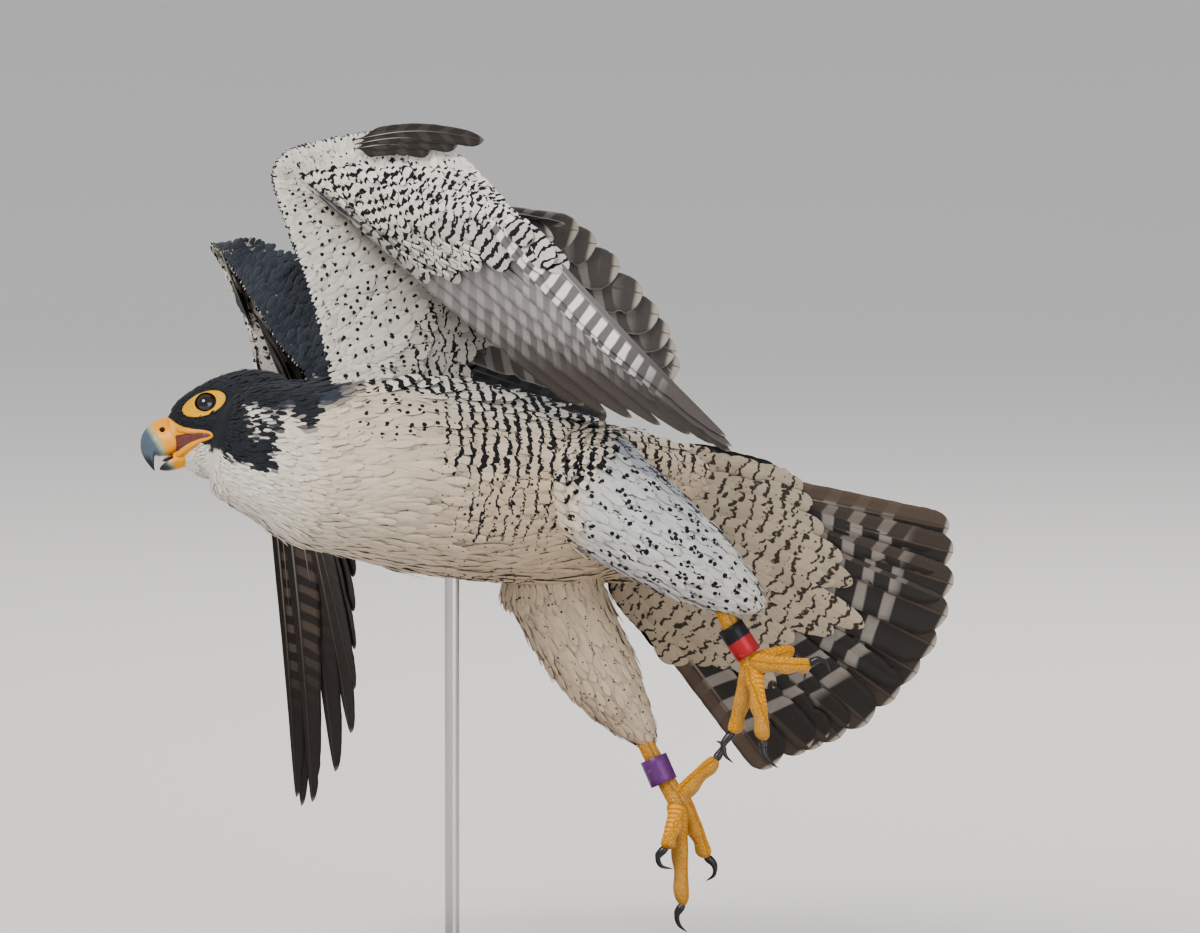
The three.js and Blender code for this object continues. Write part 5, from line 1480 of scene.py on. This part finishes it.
def skin_patch(top, bottom, sg, nu, nv, out, floors):
    """a soft cushion on the side of the face between two plan polylines"""
    tt = table([list(r) for r in top]); bb = table([list(r) for r in bottom])
    pts = []
    for i_ in range(nu):
        A_, B_ = tt(np.array([i_ / (nu - 1)]))[0], bb(np.array([i_ / (nu - 1)]))[0]
        for j_ in range(nv):
            f_ = j_ / (nv - 1)
            e_ = min(1.0, 4 * min(f_, 1 - f_, i_ / (nu - 1), 1 - i_ / (nu - 1)))
            uu, vv_ = A_ + (B_ - A_) * f_
            pts.append(side_point(uu, vv_, sg, -0.5 + (out + 0.5) * math.sin(e_ * math.pi / 2), floor_l=float(np.interp(uu, *floors))))
    P_ = np.array(pts)
    In_ = P_ - HL * sg * 1.2
    g = grid_faces(nu, nv, False); o_ = nu * nv
    ix = np.arange(o_).reshape(nu, nv)
    lp_ = np.concatenate([ix[0, :], ix[1:, -1], ix[-1, -2::-1], ix[-2:0:-1, 0]]); l2_ = np.roll(lp_, -1)
    return np.concatenate([P_, In_]), np.concatenate([g, g[:, ::-1] + o_, np.stack([lp_, l2_, l2_ + o_, lp_ + o_], 1)])


for sg in (1, -1):
    for top_, bot_, out_, fl_ in (
            ([(168, 417), (175, 421.5), (183, 426), (192, 429.5), (199, 431.5)], [(168, 436), (174, 437.5), (183, 436), (192, 434), (199, 433)], 0.8, ([160, 176, 184, 188], [7.3, 7.7, 7.0, 0.0])),
            ([(173, 453), (179, 449.5), (185, 446), (192, 442.5), (199, 440.5)], [(173, 463), (179, 461), (185, 457), (192, 450.5), (199, 443.5)], 0.55, ([160, 178, 184, 188], [5.4, 6.0, 5.4, 0.0]))):
        pv_, pq_ = skin_patch(top_, bot_, sg, 16, 10, out_, fl_)
        q = np.concatenate([q, pq_ + len(v)]); v = np.concatenate([v, pv_])
gape = simple("gape", v, q, tr, gape_mat)
mv = []; mq = []
g_ = grid_faces(5, 5, False)
for k_, m_ in enumerate(mouth):
    inner = m_ - HL * (1 if k_ == 0 else -1) * 0.8
    idx_ = np.arange(25).reshape(5, 5)
    lp = np.concatenate([idx_[0, :], idx_[1:, -1], idx_[-1, -2::-1], idx_[-2:0:-1, 0]]); lp2 = np.roll(lp, -1)
    mv += [m_, inner]; mq.append(np.concatenate([g_, g_[:, ::-1] + 25, np.stack([lp, lp2, lp2 + 25, lp + 25], 1)]) + 50 * k_)
mouth_o = simple("mouth_lining", np.concatenate(mv), np.concatenate(mq), None, mouth_mat)

# ================================================================= feet
n = N("foot_scales")
at3 = n.attr("fo")                      # mm along, mm round, top (1) .. sole (0)
fx = n.xyz(at3)
v1 = n.node("ShaderNodeTexVoronoi", feature="DISTANCE_TO_EDGE"); v1.inputs["Scale"].default_value = 0.75; n.put(v1.inputs["Vector"], n.vec(fx[0], fx[1], 0.0))
v2 = n.node("ShaderNodeTexVoronoi"); v2.inputs["Scale"].default_value = 0.75; n.put(v2.inputs["Vector"], n.vec(fx[0], fx[1], 0.0))
scute = n.m2("MULTIPLY_ADD", n.m2("SINE", n.m2("MULTIPLY", fx[0], 2.6)), 0.5, 0.5)
h = n.mix(n.ramp(fx[2], 0.72, 0.82), n.ramp(v1.outputs[0], 0.0, 0.22), n.ramp(scute, 0.0, 0.35))
nz = n.noise(at3, 0.35, 3.0)
c1 = n.mix(nz, (0.66, 0.27, 0.02, 1), (0.86, 0.42, 0.045, 1))
c1 = n.mix(n.m2("SUBTRACT", 1.0, n.ramp(n.m2("ADD", h, 0.0), 0.05, 0.45)), c1, (0.46, 0.20, 0.02, 1))
c1 = n.mix(n.m2("MULTIPLY", n.m2("SUBTRACT", 1.0, n.ramp(fx[2], 0.1, 0.4)), 0.5), c1, (0.50, 0.30, 0.10, 1))
n.bump(h, 0.7, 0.0006)
foot_mat = n.done(c1, n.m2("MULTIPLY_ADD", nz, 0.2, 0.42), 0.4)
n = N("claw_horn")
cx = n.noise(n.object_co(), 160, 4.0)
n.bump(cx, 0.15, 0.0003)
claw_mat = n.done(n.mix(cx, (0.008, 0.008, 0.009, 1), (0.035, 0.032, 0.030, 1)), n.m2("MULTIPLY_ADD", cx, 0.15, 0.2), 0.5)


def foot_tube(points, radius, nt, na, kind, seed):
    v, q, tr = tube(points, radius, nt, na)
    ln = np.linalg.norm(np.diff(np.asarray(points), axis=0), axis=1).sum()
    t = np.linspace(0, 1, nt); a = np.arange(na) / na * 2 * math.pi
    Tm, A = np.meshgrid(t, a, indexing="ij")
    top = 0.5 + 0.5 * np.cos(A - math.pi * 0.5) if kind == "toe" else 0.5 + 0.45 * np.cos(A - math.pi)
    fo = np.stack([Tm * ln + seed * 31, A * 4.5, top], -1).reshape(-1, 3)
    fo = np.concatenate([fo, fo[:1], fo[-1:]])
    return v, q, tr, fo


foot_objs, claw_objs, band_objs = {}, {}, {}
for side, leg in LEGS.items():
    L_ = []
    sh = PP(leg["shank"])
    L_.append(foot_tube(sh, lambda t, a: 4.7 + 0.9 * t ** 2 + 0.25 * np.sin(a * 2 + 1) - 2.5 * smooth(0.97, 1.0, t), 50, 28, "shank", 1))
    hub = (sh[2] + PP(leg["toes"][0][0])[0]) / 2
    dirn = unit(sh[2] - sh[1])
    L_.append(foot_tube([hub - dirn * 6.5, hub - dirn * 2, hub + dirn * 3, hub + dirn * 6.2], lambda t, a: 6.3 * np.sqrt(np.clip(1 - (2 * t - 1) ** 2, 0, 1)) + 0.15, 30, 28, "shank", 2))
    cl = []
    for ti, (path, claw) in enumerate(leg["toes"]):
        pth = PP(path)
        npads = 2 if ti == 0 else 3

        def rad(t, a, npads=npads):
            base = 4.75 - 1.35 * t
            knob = 1.25 * np.abs(np.sin(t * npads * math.pi)) ** 2
            pad = knob * (0.18 + 0.82 * smooth(0.2, -0.7, np.sin(a)))            # pads swell on the sole
            scut = 0.10 * np.abs(np.sin(t * 21 * math.pi)) * smooth(0.2, 0.8, np.sin(a))
            end = np.sqrt(np.clip(1 - np.clip((t - 0.9) / 0.1, 0, 1) ** 2, 0.12, 1))
            return (base + pad + scut) * end
        L_.append(foot_tube(pth, rad, 60, 28, "toe", 3 + ti))
        cp = PP(claw)
        cl.append(tube(cp, lambda t, a: 2.55 * (1 - t) ** 0.85 * (1 + 0.12 * np.sin(a)) * (0.75 + 0.25 * smooth(0, 0.12, t)) + 0.12, 36, 16, flat=0.82))
    V, Q, Tt, Fo, o = [], [], [], [], 0
    for v, q, tr, fo in L_:
        V.append(v); Q.append(q + o); Tt.append(tr + o); Fo.append(fo); o += len(v)
    me = build("foot_skin_" + side, W(np.concatenate(V)), np.concatenate(Q), np.concatenate(Tt))
    attr(me, "fo", "FLOAT_VECTOR", np.concatenate(Fo))
    bm = bmesh.new(); bm.from_mesh(me); bmesh.ops.recalc_face_normals(bm, faces=bm.faces); bm.to_mesh(me); bm.free()
    me.shade_smooth(); me.materials.append(foot_mat)
    foot_objs[side] = link(me, "foot_skin_" + side)
    for ti, cc in enumerate(cl):
        o_ = simple("talon_%s_%d" % (side, ti + 1), cc[0], cc[1], cc[2], claw_mat)
        claw_objs[(side, ti + 1)] = o_
    # leg band: a rolled metal ring
    a_, b_ = PP(leg["band"])
    mid, dr = (a_ + b_) / 2, unit(b_ - a_)
    r, h = leg["r"], leg["h"] / 2
    n1 = unit(np.cross(dr, [0, 1.0, 0])); n2 = np.cross(dr, n1)
    prof = [(r, -h + .3), (r + .2, -h), (r + .7, -h), (r + .9, -h + .25), (r + .9, -h * 0.5), (r + .9, 0), (r + .9, h * 0.5), (r + .9, h - .25), (r + .7, h), (r + .2, h), (r, h - .3), (r, 0)]
    na = 72
    A = np.arange(na) / na * 2 * math.pi
    ring = np.array([[mid + dr * y + (n1 * math.cos(x) + n2 * math.sin(x)) * rr for x in A] for rr, y in prof])
    v = ring.reshape(-1, 3)
    K = len(prof)
    i, j = np.meshgrid(np.arange(K), np.arange(na), indexing="ij"); i, j = i.ravel(), j.ravel()
    q = np.stack([i * na + j, i * na + (j + 1) % na, ((i + 1) % K) * na + (j + 1) % na, ((i + 1) % K) * na + j], 1)
    n = N("band_finish_" + side)
    nz = n.noise(n.object_co(), 900, 4.0)
    wear = n.noise(n.object_co(), 260, 5.0, 0.7)
    me = build("leg_band_" + side, W(v), q)
    hgt = np.array([y for _, y in prof]) / h
    attr(me, "up", "FLOAT", np.repeat(hgt, na))
    if side == "left":
        c0 = n.mix(n.ramp(n.attr("up", "Fac"), -0.12, -0.02), (0.012, 0.012, 0.014, 1), (0.40, 0.028, 0.030, 1))
    else:
        c0 = n.mix(nz, (0.12, 0.035, 0.16, 1), (0.17, 0.055, 0.21, 1))
    c0 = n.mix(n.m2("MULTIPLY", n.ramp(wear, 0.60, 0.72), 0.45), c0, (0.45, 0.43, 0.42, 1))
    n.bump(nz, 0.15, 0.0002)
    bmat = n.done(c0, n.m2("MULTIPLY_ADD", wear, 0.25, 0.25), 0.5, Metallic=0.35)
    bm = bmesh.new(); bm.from_mesh(me); bmesh.ops.recalc_face_normals(bm, faces=bm.faces); bm.to_mesh(me); bm.free()
    me.shade_smooth(); me.materials.append(bmat)
    band_objs[side] = link(me, "leg_band_" + side)

# ================================================================= stand
def lathe(name, prof, cx, cy, na, mat):
    A = np.arange(na) / na * 2 * math.pi
    v = np.array([[[cx + r * math.cos(x), cy + r * math.sin(x), z] for x in A] for r, z in prof]).reshape(-1, 3) / 1000
    K = len(prof)
    q = grid_faces(K, na, True)
    v = np.concatenate([v, [[cx / 1000, cy / 1000, prof[0][1] / 1000], [cx / 1000, cy / 1000, prof[-1][1] / 1000]]])
    k = np.arange(na); k2 = (k + 1) % na
    tri = np.concatenate([np.stack([np.full(na, K * na), k2, k], 1), np.stack([np.full(na, K * na + 1), (K - 1) * na + k, (K - 1) * na + k2], 1)])
    me = outward(build(name, v, q, tri))
    me.shade_smooth(); me.materials.append(mat)
    o = link(me, name)
    m = o.modifiers.new("e", "EDGE_SPLIT"); m.split_angle = rd(50)
    return o


n = N("stand_walnut")
co = n.object_co()
st = n.node("ShaderNodeMapping"); st.inputs["Scale"].default_value = (6, 60, 60); n.put(st.inputs["Vector"], co)
gr = n.noise(st.outputs[0], 2.2, 6.0, 0.6)
wv = n.node("ShaderNodeTexWave", wave_type="BANDS", bands_direction="Y"); wv.inputs["Scale"].default_value = 22; wv.inputs["Distortion"].default_value = 5; wv.inputs["Detail"].default_value = 3
n.put(wv.inputs["Vector"], co)
c0 = n.mix(n.m2("MULTIPLY", n.m2("ADD", gr, wv.outputs[1]), 0.5), (0.070, 0.030, 0.014, 1), (0.20, 0.098, 0.048, 1))
n.bump(gr, 0.12, 0.0004)
wood = n.done(c0, n.m2("MULTIPLY_ADD", gr, 0.15, 0.28), 0.5, Coat_Weight=0.25, Coat_Roughness=0.15)
n = N("stand_steel")
st = n.node("ShaderNodeMapping"); st.inputs["Scale"].default_value = (900, 900, 12); n.put(st.inputs["Vector"], n.object_co())
br = n.noise(st.outputs[0], 1.0, 3.0)
n.bump(br, 0.08, 0.0002)
steel = n.done(n.mix(br, (0.50, 0.50, 0.49, 1), (0.66, 0.66, 0.65, 1)), n.m2("MULTIPLY_ADD", br, 0.15, 0.22), 0.5, Metallic=1.0)
R, Hh = 135, 14
base_prof = [(R - 3, 0), (R - 0.6, 0.6), (R, 2.0), (R, 6.5), (R - 0.8, 7.6), (R - 3.0, 8.2), (R - 3.4, 9.0), (R - 3.2, 10.4), (R - 4.2, 12.6), (R - 6.5, 13.7), (R - 9, 14.0), (R * 0.6, 14.0), (6, 14.0)]
base_o = lathe("stand_plinth", base_prof, 0, 0, 160, wood)
rod_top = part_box("stand_rod")[1][2] * 1000
rod_o = lathe("stand_post", [(4.0, 14.3), (4.0, 60), (4.0, 120), (4.0, rod_top + 3)], 0, 0, 48, steel)
rod_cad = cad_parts["stand_rod"]

# ================================================================= who rides and replaces
def adopt(o, slot, *nodes):
    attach(o, "root")
    if nodes:
        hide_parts(*nodes)


adopt(skin, "plumage_pale", "neck", "trunk", "thigh_left", "thigh_right", "wing_left_arm", "wing_left_hand", "wing_right_arm", "wing_right_hand", "head")
for o in coat_objs:
    adopt(o, "plumage_pale" if "face" not in o.name and "upper" not in o.name else "plumage_dark")
adopt(tail_obj, "flight_feathers", "tail")
for side in ("left", "right"):
    adopt(made[side][0], "flight_feathers", "wing_%s_primaries" % side)
    adopt(made[side][1], "flight_feathers", "wing_%s_secondaries" % side)
    adopt(alula_objs[side], "flight_feathers", "wing_%s_alula" % side)
    adopt(eye_objs[side][0], "eye", "eye_" + side)
    adopt(eye_objs[side][1], "leg_skin")
    adopt(foot_objs[side], "leg_skin", "foot_" + side)
    for ti in range(1, 5):
        adopt(claw_objs[(side, ti)], "claw", "claw_%s_%d" % (side, ti))
    adopt(band_objs[side], "band_red_black" if side == "left" else "band_purple", "band_" + side)
adopt(bill_up, "horn", "bill_upper")
adopt(bill_dn, "horn", "bill_lower")
adopt(tongue, "leg_skin")
adopt(bpy.data.objects["nostrils"], "horn")
adopt(gape, "leg_skin")
adopt(mouth_o, "leg_skin")
adopt(base_o, "stand_wood", "stand_base")
adopt(rod_o, "stand_metal", "stand_rod")

# ================================================================= stage
def flat_floor():
    me = bpy.data.meshes.new("floor")
    s = 40.0
    me.from_pydata([(-s, -20, 0), (s, -20, 0), (s, 60, 0), (-s, 60, 0)], [], [(0, 1, 2, 3)])
    n = N("floor_pale")
    nz = n.noise(n.object_co(), 0.7, 3.0)
    n.bump(n.noise(n.object_co(), 60, 3.0), 0.04, 0.001)
    me.materials.append(n.done(n.mix(nz, (0.70, 0.675, 0.64, 1), (0.735, 0.71, 0.675, 1)), 0.75, 0.25))
    return link(me, "floor")


floor = flat_floor()


def area(name, loc, target, size, power, color=(1, 1, 1)):
    l = bpy.data.lights.new(name, "AREA")
    l.shape = "RECTANGLE"; l.size = size[0]; l.size_y = size[1]; l.energy = power; l.color = color
    o = bpy.data.objects.new(name, l); bpy.context.scene.collection.objects.link(o)
    o.location = loc
    o.rotation_euler = (Vector(target) - Vector(loc)).to_track_quat("-Z", "Y").to_euler()
    return o


centre = W(np.array([0, 0, 0.0]))
area("key", (-1.6, -2.2, 2.9), centre, (1.6, 1.6), 95, (1.0, 0.985, 0.96))
area("fill", (1.8, -2.6, 0.9), centre, (2.2, 1.8), 30, (0.96, 0.98, 1.0))
area("rim", (0.8, 2.2, 2.2), centre, (1.6, 1.2), 40, (1, 1, 1))
world = bpy.data.worlds.new("w"); bpy.context.scene.world = world; world.use_nodes = True
world.node_tree.nodes["Background"].inputs[0].default_value = (0.93, 0.95, 1.0, 1)
world.node_tree.nodes["Background"].inputs[1].default_value = 0.62

cam = bpy.data.cameras.new("camera")
cam.sensor_width = 36; cam.sensor_fit = "HORIZONTAL"
cam.lens = 36 * FAR / (1200 * PLAN)
cam.clip_end = 200
co_ = bpy.data.objects.new("camera", cam); bpy.context.scene.collection.objects.link(co_)
px_, pz_ = np.array([1.0, 0, 0]), np.array([0, SL, CL])
pb_ = -np.array([0, CL, -SL])
m = Matrix(((px_[0], pz_[0], pb_[0], 0), (px_[1], pz_[1], pb_[1], 0), (px_[2], pz_[2], pb_[2], 0), (0, 0, 0, 1)))
loc = W(np.array([0, -FAR, 0.0]))
m.translation = Vector(loc)
co_.matrix_world = m
bpy.context.scene.camera = co_
bpy.context.scene.view_settings.view_transform = "AgX"
bpy.context.scene.view_settings.look = "AgX - Medium High Contrast"
